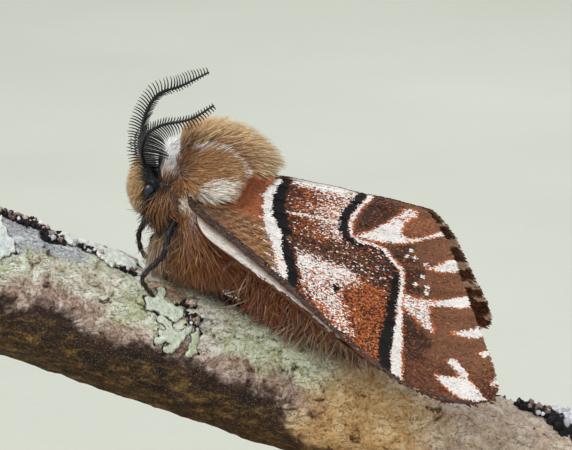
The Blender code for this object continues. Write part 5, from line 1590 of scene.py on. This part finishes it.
def toePoint(x, degrees, lift):
    turn = math.radians(degrees)
    radius = branchSettings["radius"] - branchSettings["taper"] * x + lift
    station = x - radius * math.cos(turn) * math.sin(slope)
    axis = np.array([station, 0, branchSettings["middle"] - station * math.tan(slope)])
    return axis + branchOver * radius * math.cos(turn) + np.array([0, -radius * math.sin(turn), 0])


def jointed(route, reach=0.32):
    # the route with each corner drawn tight, so that the lengths between joints are straight
    route = [np.array(point, float) for point in route]
    points = [route[0]]
    for before, corner, after in zip(route, route[1:], route[2:]):
        for other in (before, after):
            gap = other - corner
            points.append(corner + gap * min(0.4, reach / np.linalg.norm(gap)))
    return points + [route[-1]]


def makeLegs(material, fur):
    set_ = legSettings
    chance = np.random.default_rng(41)
    for name, (body, toes) in set_["routes"].items():
        route = list(body) + [toePoint(x, turn, 0.2) for x, turn in toes]
        path = curvePoints(jointed(route), set_["stations"])
        shares = np.linspace(0, 1, set_["stations"])
        ripple = 1 + 0.16 * np.cos(shares * 60) * smooth(shares, 0.5, 0.62)
        girth = along(set_["radii"], shares) * ripple
        parts = [makeTube(path[None], girth[None], 10)]
        ahead = headings(path)
        side = unit(np.cross(ahead[-1], branchOver)[None])[0]
        steps = np.linspace(0, 1, len(set_["claw radii"]))[:, None]
        for sign in (-1, 1):
            hook = path[-1] + ahead[-1] * set_["claw"] * steps + side * (sign * 0.2 * steps)
            hook = hook - branchOver * (0.22 * steps**2)
            parts.append(makeTube(hook[None], np.array(set_["claw radii"])[None], 6))
        word = name.replace("leg_left", "LegLeft").replace("leg_right", "LegRight")
        dress(joinedMesh(word, *joinParts(parts)), material, "black_cuticle", name)
        count = set_["bristles"]
        pick = chance.integers(4, set_["stations"] - 2, count)
        out = chance.normal(0, 1, (count, 3))
        out = unit(out - ahead[pick] * dots(out, ahead[pick])[:, None])
        coat = Coat(count, chance, "black")
        coat.tip = coat.mixed("black", "rust", 0.2)
        plan = coat.plan(ahead[pick], 0.34 + 0.5 * smooth(shares[pick], 0.62, 0.3), 0.06, 0.5, 0.3)
        patches = np.column_stack([shares[pick], chance.random(count)]) * patchRoom
        roots = path[pick] + out * girth[pick][:, None] * 0.8
        growTufts(word + "Bristles", roots, out, plan, patches, chance, fur, "black_cuticle", avoid=False)
    print("legs made")


# The stand keeps its CAD solids, and the floor, light and camera are the studio

def woodFinish():
    finish = Finish("paleWood", Specular_IOR_Level=0.35)
    board = finish.noise(0.3, 3, 0.55, finish.place((0.06, 1, 1)), twist=0.5)
    fibre = finish.noise(1.6, 6, 0.65, finish.place((0.12, 2.2, 2.2)))
    pores = finish.step(finish.noise(2.4, 2, 0.5, finish.place((0.16, 3, 3))), 0.4, 0.3)
    tone = finish.ramp(board * 0.55 + fibre * 0.45, (0.36, (172, 132, 90)), (0.5, (200, 164, 120)),
                       (0.64, (218, 188, 146)))
    finish.set(Base_Color=finish.layers(tone, (pores * 0.5, (128, 92, 60))), Roughness=0.42 + 0.25 * fibre)
    finish.bump(fibre - pores * 0.5, 0.25, 0.08)
    return finish.material


def steelFinish():
    finish = Finish("brushedSteel", Metallic=1.0)
    brushed = finish.noise(3, 4, 0.6, finish.place((3, 3, 0.12)))
    tone = finish.ramp(brushed, (0.3, (150, 150, 152)), (0.7, (196, 196, 198)))
    finish.set(Base_Color=tone, Roughness=0.28 + 0.2 * brushed)
    finish.bump(brushed, 0.15, 0.02)
    return finish.material


def dressStand():
    for node, material in (("stand_base", woodFinish()), ("stand_rod", steelFinish())):
        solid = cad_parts[node]
        for slot in solid.material_slots:
            slot.material = material
        if not solid.material_slots:
            solid.data.materials.append(material)
    print("stand dressed")


studio = {
    "target": (0.0, -5.0, 33.5), "distance": 300.0, "elevation": math.radians(12), "frame width": 43.33,
    "floor": 4, "sky": (226, 230, 234), "sky strength": 0.7,
    "lights": (
        # name, place, size, watts
        ("key", (-170, -230, 360), 240, 1.25),
        ("fill", (320, -240, 150), 300, 0.4),
        ("back", (60, 300, 300), 260, 0.55),
    ),
}


def makeStudio():
    deselect()
    bpy.ops.mesh.primitive_plane_add(size=studio["floor"])
    floor = takeMesh("floor")
    finish = Finish("floor", Roughness=0.8)
    mottle = finish.noise(0.012, 3) * 0.8 + finish.noise(0.9, 3) * 0.2
    finish.set(Base_Color=finish.ramp(mottle, (0.3, (192, 194, 180)), (0.7, (204, 205, 192))))
    floor.data.materials.append(finish.material)
    target = Vector(studio["target"]) * mm
    for name, place, size, watts in studio["lights"]:
        light = bpy.data.lights.new(name, "AREA")
        light.shape = "DISK"
        light.size = size * mm
        light.energy = watts
        lamp = addObject(name, light)
        lamp.location = Vector(place) * mm
        lamp.rotation_euler = (target - lamp.location).to_track_quat("-Z", "Y").to_euler()
    world = bpy.data.worlds.new("studio")
    world.use_nodes = True
    sky = world.node_tree.nodes["Background"].inputs
    sky["Color"].default_value = (*linear(*studio["sky"]), 1)
    sky["Strength"].default_value = studio["sky strength"]
    bpy.context.scene.world = world
    camera = bpy.data.cameras.new("camera")
    camera.sensor_width = 36
    camera.lens = camera.sensor_width * studio["distance"] / studio["frame width"]
    camera.clip_start = 0.005
    camera.clip_end = 10
    seen = addObject("camera", camera)
    rise = studio["elevation"]
    back = Vector((0, -math.cos(rise), math.sin(rise)))
    seen.location = target + back * studio["distance"] * mm
    seen.rotation_euler = (-back).to_track_quat("-Z", "Y").to_euler()
    bpy.context.scene.camera = seen
    bpy.context.scene.view_settings.view_transform = "Standard"
    print("studio made")


makeStudio()
dressStand()
makeBranch()
makeLichens()
makeWings()
fur = makeBody()
makeWingBase(fur)
makeEyes()
cuticle = cuticleFinish()
makeAntennae(cuticle)
makeLegs(cuticle, fur)
